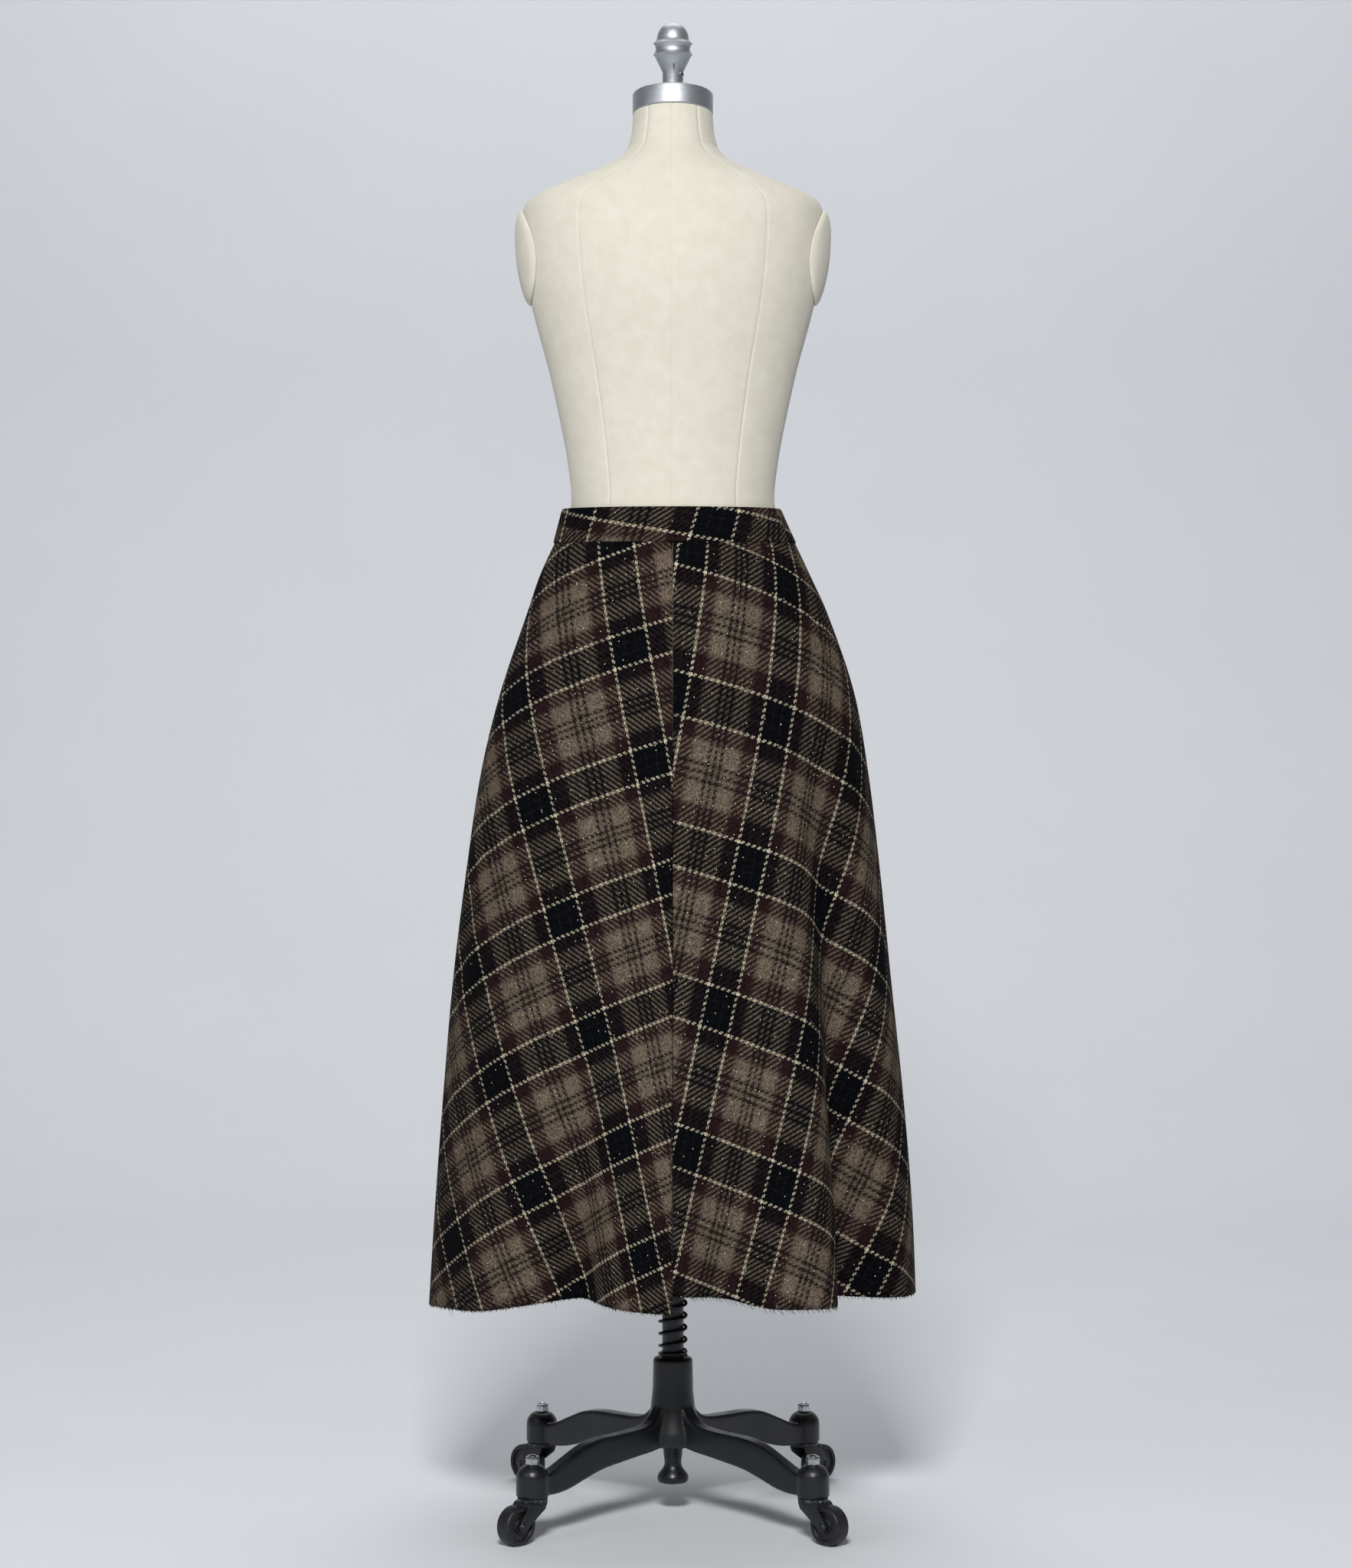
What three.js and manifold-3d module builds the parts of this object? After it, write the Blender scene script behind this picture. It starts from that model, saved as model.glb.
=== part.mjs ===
// A flared plaid wool skirt on a limbless dress form with a rolling iron stand.
// Millimetres, +Z up, the floor at z = 0, the pole on the Z axis.
// The side with the skirt's seam (the back of the form) faces -Y, and +X is the right of that view.
// Angles round the skirt are in degrees from the seam, growing towards +X.
import * as THREE from 'three';
import loadManifold from 'manifold-3d';

// Skirt
const CLOTH = 2.2; // thickness of the wool
const SEAM_GAP = 0.3; // clearance between pieces that are sewn or bolted together
const WAIST_SEAM = 1113.5; // height of the seam between waistband and skirt
const SKIRT_COLUMNS = 84;
const SKIRT_ROWS = 12;
const FOLD_DROP = 863; // drop at which a fold has its full depth

// Half sizes of the skirt without its folds, by the drop below the waist seam.
const SKIRT_SECTIONS = [
  { drop: 0, left: 135.5, right: 140, back: 104, front: 102 },
  { drop: 36, left: 152, right: 157, back: 116, front: 112 },
  { drop: 80, left: 167, right: 177, back: 127, front: 120 },
  { drop: 168, left: 197, right: 207, back: 144, front: 132 },
  { drop: 256, left: 219, right: 223, back: 158, front: 146 },
  { drop: 365, left: 235.5, right: 236.5, back: 176, front: 168 },
  { drop: 497, left: 252, right: 250.5, back: 196, front: 190 },
  { drop: 628, left: 263.5, right: 264.5, back: 211, front: 207 },
  { drop: 760, left: 273.5, right: 275, back: 224, front: 222 },
  { drop: 880, left: 281, right: 280, back: 233, front: 232 },
];

// Folds of the skirt: where each lies at the hem, how far it stands out (or in), its half width,
// the drop at which it starts, how late it opens from there, and how far it has wandered by the hem.
const SKIRT_FOLDS = [
  { angle: -47, depth: 10, spread: 12, start: 413, growth: 1.3, drift: 0 },
  { angle: -24, depth: -36, spread: 8, start: 443, growth: 1.2, drift: -2 },
  { angle: -3, depth: 12, spread: 9, start: 433, growth: 1.3, drift: 0 },
  { angle: 13, depth: -18, spread: 8, start: 553, growth: 1.3, drift: 2 },
  { angle: 34, depth: 21, spread: 9, start: 190, growth: 0.9, drift: 3 },
  { angle: 53, depth: -65, spread: 9, start: 200, growth: 0.9, drift: 5 },
  { angle: 112, depth: -44, spread: 10, start: 353, growth: 1.3, drift: 3 },
  { angle: 133, depth: 12, spread: 9, start: 413, growth: 1.3, drift: 0 },
  { angle: 156, depth: -48, spread: 10, start: 313, growth: 1.3, drift: 0 },
  { angle: 180, depth: 12, spread: 10, start: 413, growth: 1.3, drift: 0 },
  { angle: 205, depth: -44, spread: 10, start: 333, growth: 1.3, drift: 0 },
  { angle: 228, depth: 12, spread: 9, start: 413, growth: 1.3, drift: 0 },
  { angle: 249, depth: -46, spread: 10, start: 353, growth: 1.3, drift: -3 },
];

// Height of the cloth's raw lower edge round the skirt: the two sides of the seam end unevenly.
const SKIRT_HEM = [
  { angle: 0, height: 287 },
  { angle: 12, height: 281 },
  { angle: 22, height: 270 },
  { angle: 32, height: 269 },
  { angle: 44, height: 267 },
  { angle: 60, height: 264 },
  { angle: 90, height: 257 },
  { angle: 135, height: 250 },
  { angle: 180, height: 247 },
  { angle: 225, height: 247 },
  { angle: 270, height: 244 },
  { angle: 295, height: 252 },
  { angle: 312, height: 259 },
  { angle: 328, height: 272 },
  { angle: 336, height: 275 },
  { angle: 347, height: 271 },
  { angle: 360, height: 268 },
];

// Waistband: a strip folded double, its ends meeting at BAND_CLOSURE
const BAND_THICKNESS = 4;
const BAND_CLOSURE = 71;
const BAND_COLUMNS = 60;
const BAND_SECTIONS = [
  { height: 1153.5, left: 126.5, right: 123.5, back: 95, front: 96 },
  { height: 1134, left: 131.5, right: 132, back: 100, front: 100 },
  { height: 1113.8, left: 137, right: 141.5, back: 106, front: 104 },
];

// Raw edge: yarn ends on a thin strip just under the cloth
const FRAY_THICKNESS = 1.4;
const FRAY_STRIP = 1.2;
const FRAY_LENGTH = 4.5;
const FRAY_WIDTH = 0.12; // share of a column taken by one yarn end
const FRAY_START = 0.3; // share of a column before it
const FRAY_STRAY = 0.25; // how unevenly the yarn ends are placed and cut
const FRAY_LEAN = 1.5;
const FRAY_WAVE = 2.4; // step of the wave that makes them uneven

// Form: half sizes by height, and the slope of each section (near side higher)
const FORM_COLUMNS = 32;
const FORM_TALLEST = 60; // rows further apart than this are halved
const FORM_SECTIONS = [
  { height: 885, half: 158, back: 116, front: 106, slope: 0 },
  { height: 893, half: 164, back: 122, front: 110, slope: 0 },
  { height: 945, half: 169, back: 127, front: 114, slope: 0 },
  { height: 1033, half: 157, back: 119, front: 110, slope: 0 },
  { height: 1077, half: 144.5, back: 109, front: 104, slope: 0 },
  { height: 1120, half: 130.6, back: 99.4, front: 97.6, slope: 0 },
  { height: 1150, half: 118, back: 90, front: 90.5, slope: 0 },
  { height: 1170, half: 116, back: 86, front: 88, slope: 0 },
  { height: 1205, half: 120, back: 85.5, front: 92, slope: 0 },
  { height: 1240, half: 126, back: 87, front: 98, slope: 0 },
  { height: 1309, half: 141, back: 95, front: 114, slope: 0 },
  { height: 1344, half: 150.5, back: 101, front: 125, slope: 0 },
  { height: 1380, half: 160, back: 107, front: 132, slope: 0 },
  { height: 1415, half: 167, back: 110, front: 127, slope: 0 },
  { height: 1450, half: 171, back: 109, front: 115, slope: 0 },
  { height: 1484, half: 172, back: 103, front: 101, slope: 0 },
  { height: 1503, half: 166, back: 96, front: 90, slope: 0 },
  { height: 1514, half: 148, back: 90, front: 84, slope: 0.01 },
  { height: 1526, half: 117, back: 82, front: 77, slope: 0.03 },
  { height: 1540, half: 81, back: 70, front: 66, slope: 0.06 },
  { height: 1554, half: 58, back: 57, front: 56, slope: 0.1 },
  { height: 1573, half: 48.5, back: 50, front: 49, slope: 0.15 },
  { height: 1600.7, half: 45.4, back: 45.4, front: 45.4, slope: 0.19 },
];
const NECK_SLOPE = 0.19;
const NECK_HEIGHT = 1600.7;
const CAP_RADIUS = 45.8;
const CAP_HEIGHT = 24.5;
const CAP_ROUND = 3; // rounding of its upper edge
const CAP_SIDES = 32;
const ARM_PLATE = { height: 1439, halfHeight: 54, halfAngle: 25, thickness: 8, rim: 2, clearance: 0.95 };
const PLATE_RINGS = 5;
const PLATE_SIDES = 16;

// Finial: radius and depth below its top, from the stem up
const FINIAL_TOP = 1705.6;
const FINIAL_PROFILE = [
  { depth: 56.4, radius: 11.7 },
  { depth: 50, radius: 14.6 },
  { depth: 43.6, radius: 17.9 },
  { depth: 38.4, radius: 20.2 },
  { depth: 36.1, radius: 22.3 },
  { depth: 33.6, radius: 20.3 },
  { depth: 29.8, radius: 19.4 },
  { depth: 26, radius: 20.3 },
  { depth: 23.4, radius: 22.3 },
  { depth: 21, radius: 19.6 },
  { depth: 19.1, radius: 18.4 },
  { depth: 13, radius: 17.3 },
  { depth: 7, radius: 14.4 },
  { depth: 2.4, radius: 9.4 },
  { depth: 0, radius: 3.4 },
];
const FINIAL_SIDES = 20;
const FINIAL_SCREW = { angle: 45, depth: 59.5, radius: 2.7, length: 3.2, sides: 14 };

// Stand
const POLE_RADIUS = 12.3;
const POLE_WALL = 2;
const POLE_FOOT = 84.3; // lower end of the pole's tube, inside the hub
const FLANGE_RADIUS = 45;
const FLANGE_THICKNESS = 6;
const POLE_SIDES = 24;
const FOOT_SIDES = 20;
const FOOT_PROFILE = [ // radius and height of the bell foot, from its underside up
  [14, 34],
  [17, 36],
  [18, 39.5],
  [16.6, 44.5],
  [13, 50],
  [10.2, 54],
  [9.6, 58],
  [10.6, 67],
  [12, 79],
];
const HUB_TOP = 179;
const HUB_BORE = 12.7;
const HUB_SIDES = 28;
const HUB_PROFILE = [ // radius and height, from the underside up
  [28, 78],
  [33, 84],
  [33, 94],
  [29, 108],
  [25.5, 122],
  [23.4, 142],
  [22.6, 176.5],
  [20.8, HUB_TOP],
];
const SPRING_WIRE = 1.9;
const SPRING_RADIUS = 15.2;
const SPRING_PITCH = 14;
const SPRING_CLOSE_PITCH = 4.2; // of the turn at each end
const SPRING_TURNS = 6;
const SPRING_STEPS = 80;
const WIRE_SIDES = 6;
const COLLAR_RADIUS = 18.5;
const COLLAR_HEIGHT = 12;
const LEG_SPAN = 220.6; // from the pole to the swivel axis of a caster
const LEG_CORNER = 5; // how much is cut off each corner of its section
const LEG_SECTIONS = [
  { reach: 16, top: 138, foot: 79, width: 15 },
  { reach: 22, top: 129, foot: 79, width: 18 },
  { reach: 30, top: 116, foot: 78, width: 20.5 },
  { reach: 42, top: 107.5, foot: 76, width: 21 },
  { reach: 62, top: 104, foot: 74, width: 20.5 },
  { reach: 88, top: 103, foot: 71, width: 20 },
  { reach: 119, top: 102, foot: 67, width: 19.5 },
  { reach: 143, top: 98, foot: 61, width: 19.5 },
  { reach: 170, top: 87, foot: 53, width: 19.5 },
  { reach: 193, top: 77, foot: 50, width: 20 },
  { reach: 212, top: 73, foot: 51, width: 20 },
];

// Casters
const SOCKET_TOP = 86;
const SOCKET_FOOT = 50.5;
const SOCKET_SIDES = 18;
const SOCKET_PROFILE = [ // radius and height, from the underside up
  [18.5, SOCKET_FOOT],
  [18.5, 74],
  [16.7, 80.5],
  [12.5, 84.8],
  [9, SOCKET_TOP],
];
const NUT_RADIUS = 8;
const NUT_HEIGHT = 11.5;
const WHEEL_RADIUS = 22;
const WHEEL_WIDTH = 19;
const WHEEL_CHAMFER = 3;
const WHEEL_SIDES = 20;
const WHEEL_GAP = 1; // between the wheel and each arm of its fork
const AXLE_RADIUS = 3.2;
const AXLE_HEAD = 2; // how far the rivet heads stand out
const AXLE_SIDES = 10;
const CASTER_TRAIL = 25;
const RACE_RADIUS = 17;
const RACE_SIDES = 16;
const FORK_PLATE = 2.5;
const FORK_CROWN = 44.6; // underside of the fork's crown
const FORK_INNER = -11; // ends of the crown, out from the swivel axis
const FORK_OUTER = 13;
const FORK_ARM = [ // distance out from the swivel axis and height, round the outline of one arm
  [FORK_INNER, FORK_CROWN],
  [-8, 37.6],
  [19, 18],
  [23, 15.5],
  [29, 17],
  [31.5, WHEEL_RADIUS],
  [18, 40.6],
  [FORK_OUTER, FORK_CROWN + FORK_PLATE],
  [FORK_INNER, FORK_CROWN + FORK_PLATE],
];

const wool = new THREE.MeshStandardMaterial({ name: 'wool_plaid', color: 0x3f3835, roughness: 0.95 });
const canvas = new THREE.MeshStandardMaterial({ name: 'form_canvas', color: 0xe6e1cf, roughness: 0.85 });
const aluminium = new THREE.MeshStandardMaterial({
  name: 'brushed_aluminium',
  color: 0xb9bdc2,
  roughness: 0.35,
  metalness: 1,
});
const enamel = new THREE.MeshStandardMaterial({ name: 'black_enamel', color: 0x15171a, roughness: 0.4 });
const spring_steel = new THREE.MeshStandardMaterial({
  name: 'black_spring_steel',
  color: 0x1b1c1f,
  roughness: 0.35,
  metalness: 0.6,
});
const chrome = new THREE.MeshStandardMaterial({
  name: 'chrome',
  color: 0xc9ccd0,
  roughness: 0.15,
  metalness: 1,
});
const wheel_plastic = new THREE.MeshStandardMaterial({
  name: 'black_wheel',
  color: 0x1c1c1e,
  roughness: 0.55,
});

const manifold = await loadManifold();
manifold.setup();

const radians = THREE.MathUtils.degToRad;
const part = new THREE.Group();

function addPart(name, geometry, material, parent = part) {
  const mesh = new THREE.Mesh(geometry, material);
  mesh.name = name;
  parent.add(mesh);
  return mesh;
}

// Value of one column of a table at a place along its key column, on a smooth curve through the rows.
function smoothColumn(rows, key, column, place) {
  const last = rows.length - 1;
  let i = 0;
  while (i < last - 1 && place > rows[i + 1][key]) i += 1;
  const slopeAt = (k) => {
    const before = rows[Math.max(k - 1, 0)];
    const after = rows[Math.min(k + 1, last)];
    return (after[column] - before[column]) / (after[key] - before[key]);
  };
  const span = rows[i + 1][key] - rows[i][key];
  const t = (place - rows[i][key]) / span;
  const rise = (1 + 2 * t) * (1 - t) ** 2 * rows[i][column] + t * t * (3 - 2 * t) * rows[i + 1][column];
  return rise + span * (t * (1 - t) ** 2 * slopeAt(i) + t * t * (t - 1) * slopeAt(i + 1));
}

// Closed solid from points and triangles, turned so that its faces look outward.
function closedGeometry(points, faces) {
  let volume = 0;
  for (let i = 0; i < faces.length; i += 3) {
    const [a, b, c] = [points[faces[i]], points[faces[i + 1]], points[faces[i + 2]]];
    volume += a.dot(b.clone().cross(c));
  }
  const index = volume < 0 ? faces.slice().reverse() : faces;
  const geometry = new THREE.BufferGeometry().setFromPoints(points);
  geometry.setIndex(index);
  geometry.computeVertexNormals();
  return geometry;
}

// Wall between two grids of points, grid[row][column], closed along its four edges.
function wallGeometry(outer, inner) {
  const rows = outer.length;
  const columns = outer[0].length;
  const last = columns - 1;
  const at = (side, row, column) => (side * rows + row) * columns + column;
  const faces = [];
  const quad = (a, b, c, d) => faces.push(a, b, c, a, c, d);
  for (let r = 0; r < rows - 1; r += 1) {
    for (let c = 0; c < columns - 1; c += 1) {
      quad(at(0, r, c), at(0, r + 1, c), at(0, r + 1, c + 1), at(0, r, c + 1));
      quad(at(1, r, c), at(1, r, c + 1), at(1, r + 1, c + 1), at(1, r + 1, c));
    }
    quad(at(0, r, 0), at(1, r, 0), at(1, r + 1, 0), at(0, r + 1, 0));
    quad(at(0, r, last), at(0, r + 1, last), at(1, r + 1, last), at(1, r, last));
  }
  for (let c = 0; c < columns - 1; c += 1) {
    quad(at(0, 0, c), at(0, 0, c + 1), at(1, 0, c + 1), at(1, 0, c));
    quad(at(0, rows - 1, c), at(1, rows - 1, c), at(1, rows - 1, c + 1), at(0, rows - 1, c + 1));
  }
  return closedGeometry([...outer.flat(), ...inner.flat()], faces);
}

// Solid through a row of rings with the same number of points, each end closed by a fan.
function loftGeometry(rings) {
  const sides = rings[0].length;
  const faces = [];
  for (let r = 0; r < rings.length - 1; r += 1) {
    for (let s = 0; s < sides; s += 1) {
      const a = r * sides + s;
      const b = r * sides + (s + 1) % sides;
      faces.push(a, b, b + sides, a, b + sides, a + sides);
    }
  }
  const top = (rings.length - 1) * sides;
  for (let s = 1; s < sides - 1; s += 1) {
    faces.push(0, s + 1, s);
    faces.push(top, top + s, top + s + 1);
  }
  return closedGeometry(rings.flat(), faces);
}

// Turned solid about the Z axis from [radius, height] pairs.
function turnedGeometry(profile, sides) {
  const outline = profile.map(([radius, height]) => new THREE.Vector2(radius, height));
  const area = outline.reduce((sum, a, i) => {
    const b = outline[(i + 1) % outline.length];
    return sum + a.x * b.y - b.x * a.y;
  }, 0);
  if (area < 0) outline.reverse();
  return new THREE.LatheGeometry(outline, sides).rotateX(Math.PI / 2);
}

function toManifold(geometry) {
  const flat = geometry.index ? geometry.toNonIndexed() : geometry;
  const place = flat.attributes.position.array;
  const mesh = new manifold.Mesh({
    numProp: 3,
    vertProperties: Float32Array.from(place),
    triVerts: Uint32Array.from({ length: place.length / 3 }, (_, i) => i),
  });
  mesh.merge();
  return new manifold.Manifold(mesh);
}

function fromManifold(solid) {
  const mesh = solid.getMesh();
  const geometry = new THREE.BufferGeometry();
  geometry.setAttribute('position', new THREE.BufferAttribute(mesh.vertProperties, mesh.numProp));
  geometry.setIndex(new THREE.BufferAttribute(mesh.triVerts, 1));
  geometry.computeVertexNormals();
  return geometry;
}

function joined(geometries) {
  return geometries.map(toManifold).reduce((sum, solid) => sum.add(solid));
}

// Point on an oval with different sizes to the left, right, back and front.
function ovalPoint(angle, sizes, height) {
  const turn = radians(angle);
  const across = Math.sin(turn) >= 0 ? sizes.right : sizes.left;
  const along = Math.cos(turn) >= 0 ? sizes.back : sizes.front;
  return new THREE.Vector3(across * Math.sin(turn), -along * Math.cos(turn), height);
}

function ovalNormal(angle, sizes) {
  const turn = radians(angle);
  const across = Math.sin(turn) >= 0 ? sizes.right : sizes.left;
  const along = Math.cos(turn) >= 0 ? sizes.back : sizes.front;
  return new THREE.Vector3(Math.sin(turn) / across, -Math.cos(turn) / along, 0).normalize();
}

function sectionSizes(rows, key, place) {
  const sizes = {};
  for (const side of ['left', 'right', 'back', 'front']) sizes[side] = smoothColumn(rows, key, side, place);
  return sizes;
}

// How far all folds together move the cloth out at one place.
function foldOffset(angle, drop) {
  let offset = 0;
  for (const fold of SKIRT_FOLDS) {
    const growth = Math.max(0, (drop - fold.start) / (FOLD_DROP - fold.start)) ** fold.growth;
    const centre = fold.angle - fold.drift * (1 - Math.min(growth, 1));
    const away = THREE.MathUtils.euclideanModulo(angle - centre + 180, 360) - 180;
    offset += fold.depth * growth * Math.exp(-((away / fold.spread) ** 2));
  }
  return offset;
}

function skirtPoint(angle, drop) {
  const sizes = sectionSizes(SKIRT_SECTIONS, 'drop', drop);
  const point = ovalPoint(angle, sizes, WAIST_SEAM - drop);
  return point.addScaledVector(ovalNormal(angle, sizes), foldOffset(angle, drop));
}

// Outward direction of the cloth, square to it in both directions.
function skirtNormal(angle, drop) {
  const round = skirtPoint(angle + 0.25, drop).sub(skirtPoint(angle - 0.25, drop));
  const down = skirtPoint(angle, drop + 1).sub(skirtPoint(angle, drop - 1));
  return down.cross(round).normalize();
}

// One sector of cloth, bent round and ending at both sides of the seam.
function skirtBody() {
  const outer = [];
  const inner = [];
  for (let r = 0; r <= SKIRT_ROWS; r += 1) {
    outer.push([]);
    inner.push([]);
    for (let c = 0; c <= SKIRT_COLUMNS; c += 1) {
      const edge = THREE.MathUtils.radToDeg(SEAM_GAP / 2 / SKIRT_SECTIONS[0].left);
      const angle = THREE.MathUtils.clamp((360 * c) / SKIRT_COLUMNS, edge, 360 - edge);
      const hem = WAIST_SEAM - smoothColumn(SKIRT_HEM, 'angle', 'height', angle);
      const drop = (hem * r) / SKIRT_ROWS;
      const point = skirtPoint(angle, drop);
      const normal = skirtNormal(angle, drop);
      if (r === 0) normal.setZ(0).normalize();
      outer[r].push(point);
      inner[r].push(point.clone().addScaledVector(normal, -CLOTH));
    }
  }
  return { outer, inner };
}

function waistband() {
  const outer = [];
  const inner = [];
  for (const row of BAND_SECTIONS) {
    const edge = THREE.MathUtils.radToDeg(SEAM_GAP / 2 / row.right);
    outer.push([]);
    inner.push([]);
    for (let c = 0; c <= BAND_COLUMNS; c += 1) {
      const round = THREE.MathUtils.clamp((360 * c) / BAND_COLUMNS, edge, 360 - edge);
      const point = ovalPoint(BAND_CLOSURE + round, row, row.height);
      outer.at(-1).push(point);
      const normal = ovalNormal(BAND_CLOSURE + round, row);
      inner.at(-1).push(point.clone().addScaledVector(normal, -BAND_THICKNESS));
    }
  }
  return wallGeometry(outer, inner);
}

// Strip just below the cloth's lower edge with one yarn end in every other column.
function hemFray(outerEdge, innerEdge) {
  const points = [];
  const faces = [];
  const down = (point, drop) => new THREE.Vector3(point.x, point.y, point.z - drop);
  const stations = [];
  for (let c = 0; c < outerEdge.length - 1; c += 1) {
    const start = FRAY_START + FRAY_STRAY * Math.sin(c * FRAY_WAVE);
    stations.push({ column: c, share: 0 });
    if (c % 2 === 0) {
      stations.push({ column: c, share: start, yarn: true }, { column: c, share: start + FRAY_WIDTH });
    }
  }
  stations.push({ column: outerEdge.length - 2, share: 1 });
  for (const { column, share } of stations) {
    const out = outerEdge[column].clone().lerp(outerEdge[column + 1], share);
    const into = innerEdge[column].clone().lerp(innerEdge[column + 1], share);
    const inside = out.clone().lerp(into, FRAY_THICKNESS / CLOTH);
    for (const point of [out, inside]) {
      points.push(down(point, SEAM_GAP), down(point, SEAM_GAP + FRAY_STRIP));
    }
  }
  const quad = (a, b, c, d) => faces.push(a, b, c, a, c, d);
  const lastStation = stations.length - 1;
  for (let s = 0; s < lastStation; s += 1) {
    const a = 4 * s;
    const b = a + 4;
    quad(a, a + 1, b + 1, b);
    quad(a + 2, b + 2, b + 3, a + 3);
    quad(a, b, b + 2, a + 2);
    if (stations[s].yarn) {
      const tip = points[a + 1].clone().lerp(points[b + 3], 0.5);
      tip.x += FRAY_LEAN * Math.sin(s * FRAY_WAVE);
      tip.z -= FRAY_LENGTH * (1 - FRAY_STRAY + FRAY_STRAY * Math.cos(s * FRAY_WAVE));
      const k = points.push(tip) - 1;
      faces.push(a + 1, k, b + 1, b + 1, k, b + 3, b + 3, k, a + 3, a + 3, k, a + 1);
    } else {
      quad(a + 1, a + 3, b + 3, b + 1);
    }
  }
  quad(0, 2, 3, 1);
  quad(4 * lastStation, 4 * lastStation + 1, 4 * lastStation + 3, 4 * lastStation + 2);
  return closedGeometry(points, faces);
}

// Point of the form's surface, moved out by a distance.
function formPoint(angle, height, distance = 0) {
  const half = smoothColumn(FORM_SECTIONS, 'height', 'half', height);
  const back = smoothColumn(FORM_SECTIONS, 'height', 'back', height);
  const front = smoothColumn(FORM_SECTIONS, 'height', 'front', height);
  const slope = smoothColumn(FORM_SECTIONS, 'height', 'slope', height);
  const sizes = { left: half, right: half, back, front };
  const point = ovalPoint(angle, sizes, height);
  point.addScaledVector(ovalNormal(angle, sizes), distance);
  point.z -= slope * point.y;
  return point;
}

function formTorso() {
  const heights = [];
  FORM_SECTIONS.forEach((row, i) => {
    heights.push(row.height);
    const next = FORM_SECTIONS[i + 1];
    if (next && next.height - row.height > FORM_TALLEST) heights.push((row.height + next.height) / 2);
  });
  const columns = [...Array(FORM_COLUMNS).keys()];
  const ring = (height) => columns.map((c) => formPoint((360 * c) / FORM_COLUMNS, height));
  return loftGeometry(heights.map(ring));
}

// Oval plate on the form's side: rings of points on the form, moved out less towards the rim.
function armPlate(side) {
  const rings = PLATE_RINGS;
  const around = PLATE_SIDES;
  const points = [];
  const faces = [];
  for (const face of ['outer', 'inner']) {
    for (let r = 0; r <= rings; r += 1) {
      const share = r / rings;
      const swell = ARM_PLATE.rim + (ARM_PLATE.thickness - ARM_PLATE.rim) * Math.sqrt(1 - share ** 2);
      for (let s = 0; s < (r === 0 ? 1 : around); s += 1) {
        const turn = (2 * Math.PI * s) / around;
        const angle = side * (90 + ARM_PLATE.halfAngle * share * Math.cos(turn));
        const height = ARM_PLATE.height + ARM_PLATE.halfHeight * share * Math.sin(turn);
        points.push(formPoint(angle, height, ARM_PLATE.clearance + (face === 'outer' ? swell : 0)));
      }
    }
  }
  const inner = 1 + rings * around;
  const at = (base, r, s) => base + (r === 0 ? 0 : 1 + (r - 1) * around + (s % around));
  for (let s = 0; s < around; s += 1) {
    for (const [base, turn] of [[0, false], [inner, true]]) {
      const flip = (a, b, c) => (turn ? faces.push(a, c, b) : faces.push(a, b, c));
      flip(at(base, 0, 0), at(base, 1, s), at(base, 1, s + 1));
      for (let r = 1; r < rings; r += 1) {
        flip(at(base, r, s), at(base, r + 1, s), at(base, r + 1, s + 1));
        flip(at(base, r, s), at(base, r + 1, s + 1), at(base, r, s + 1));
      }
    }
    faces.push(at(0, rings, s), at(inner, rings, s), at(inner, rings, s + 1));
    faces.push(at(0, rings, s), at(inner, rings, s + 1), at(0, rings, s + 1));
  }
  return closedGeometry(points, faces);
}

function neckCap() {
  const profile = [
    [0, 0],
    [CAP_RADIUS, 0],
    [CAP_RADIUS, CAP_HEIGHT - CAP_ROUND],
    [CAP_RADIUS - 0.3 * CAP_ROUND, CAP_HEIGHT - 0.3 * CAP_ROUND],
    [CAP_RADIUS - CAP_ROUND, CAP_HEIGHT],
    [0, CAP_HEIGHT],
  ];
  return turnedGeometry(profile, CAP_SIDES);
}

// The foot of the stem is cut to the slope of the cap below it.
function finial(capTop) {
  const profile = FINIAL_PROFILE.map(({ depth, radius }) => [radius, FINIAL_TOP - depth]);
  const stem = FINIAL_PROFILE[0].radius;
  const outline = [[0, capTop], [stem, capTop], ...profile, [0, FINIAL_TOP]];
  const geometry = turnedGeometry(outline, FINIAL_SIDES);
  const place = geometry.attributes.position;
  for (let i = 0; i < place.count; i += 1) {
    if (place.getZ(i) < capTop + 0.01) place.setZ(i, capTop - NECK_SLOPE * place.getY(i));
  }
  return geometry;
}

class CoilSpring extends THREE.Curve {
  // One close turn at each end and evenly spread turns between.
  getPoint(share, target = new THREE.Vector3()) {
    const turn = share * (SPRING_TURNS + 2);
    const open = THREE.MathUtils.clamp(turn - 1, 0, SPRING_TURNS);
    const close = turn - open;
    const climb = SPRING_CLOSE_PITCH * close + SPRING_PITCH * open;
    const angle = 2 * Math.PI * turn;
    return target.set(SPRING_RADIUS * Math.cos(angle), SPRING_RADIUS * Math.sin(angle), climb);
  }
}

function poleSpring() {
  const section = new THREE.Shape();
  for (let s = 0; s < WIRE_SIDES; s += 1) {
    const turn = (2 * Math.PI * s) / WIRE_SIDES;
    const step = s === 0 ? 'moveTo' : 'lineTo';
    section[step](SPRING_WIRE * Math.cos(turn), SPRING_WIRE * Math.sin(turn));
  }
  return new THREE.ExtrudeGeometry(section, { steps: SPRING_STEPS, extrudePath: new CoilSpring() });
}

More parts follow.
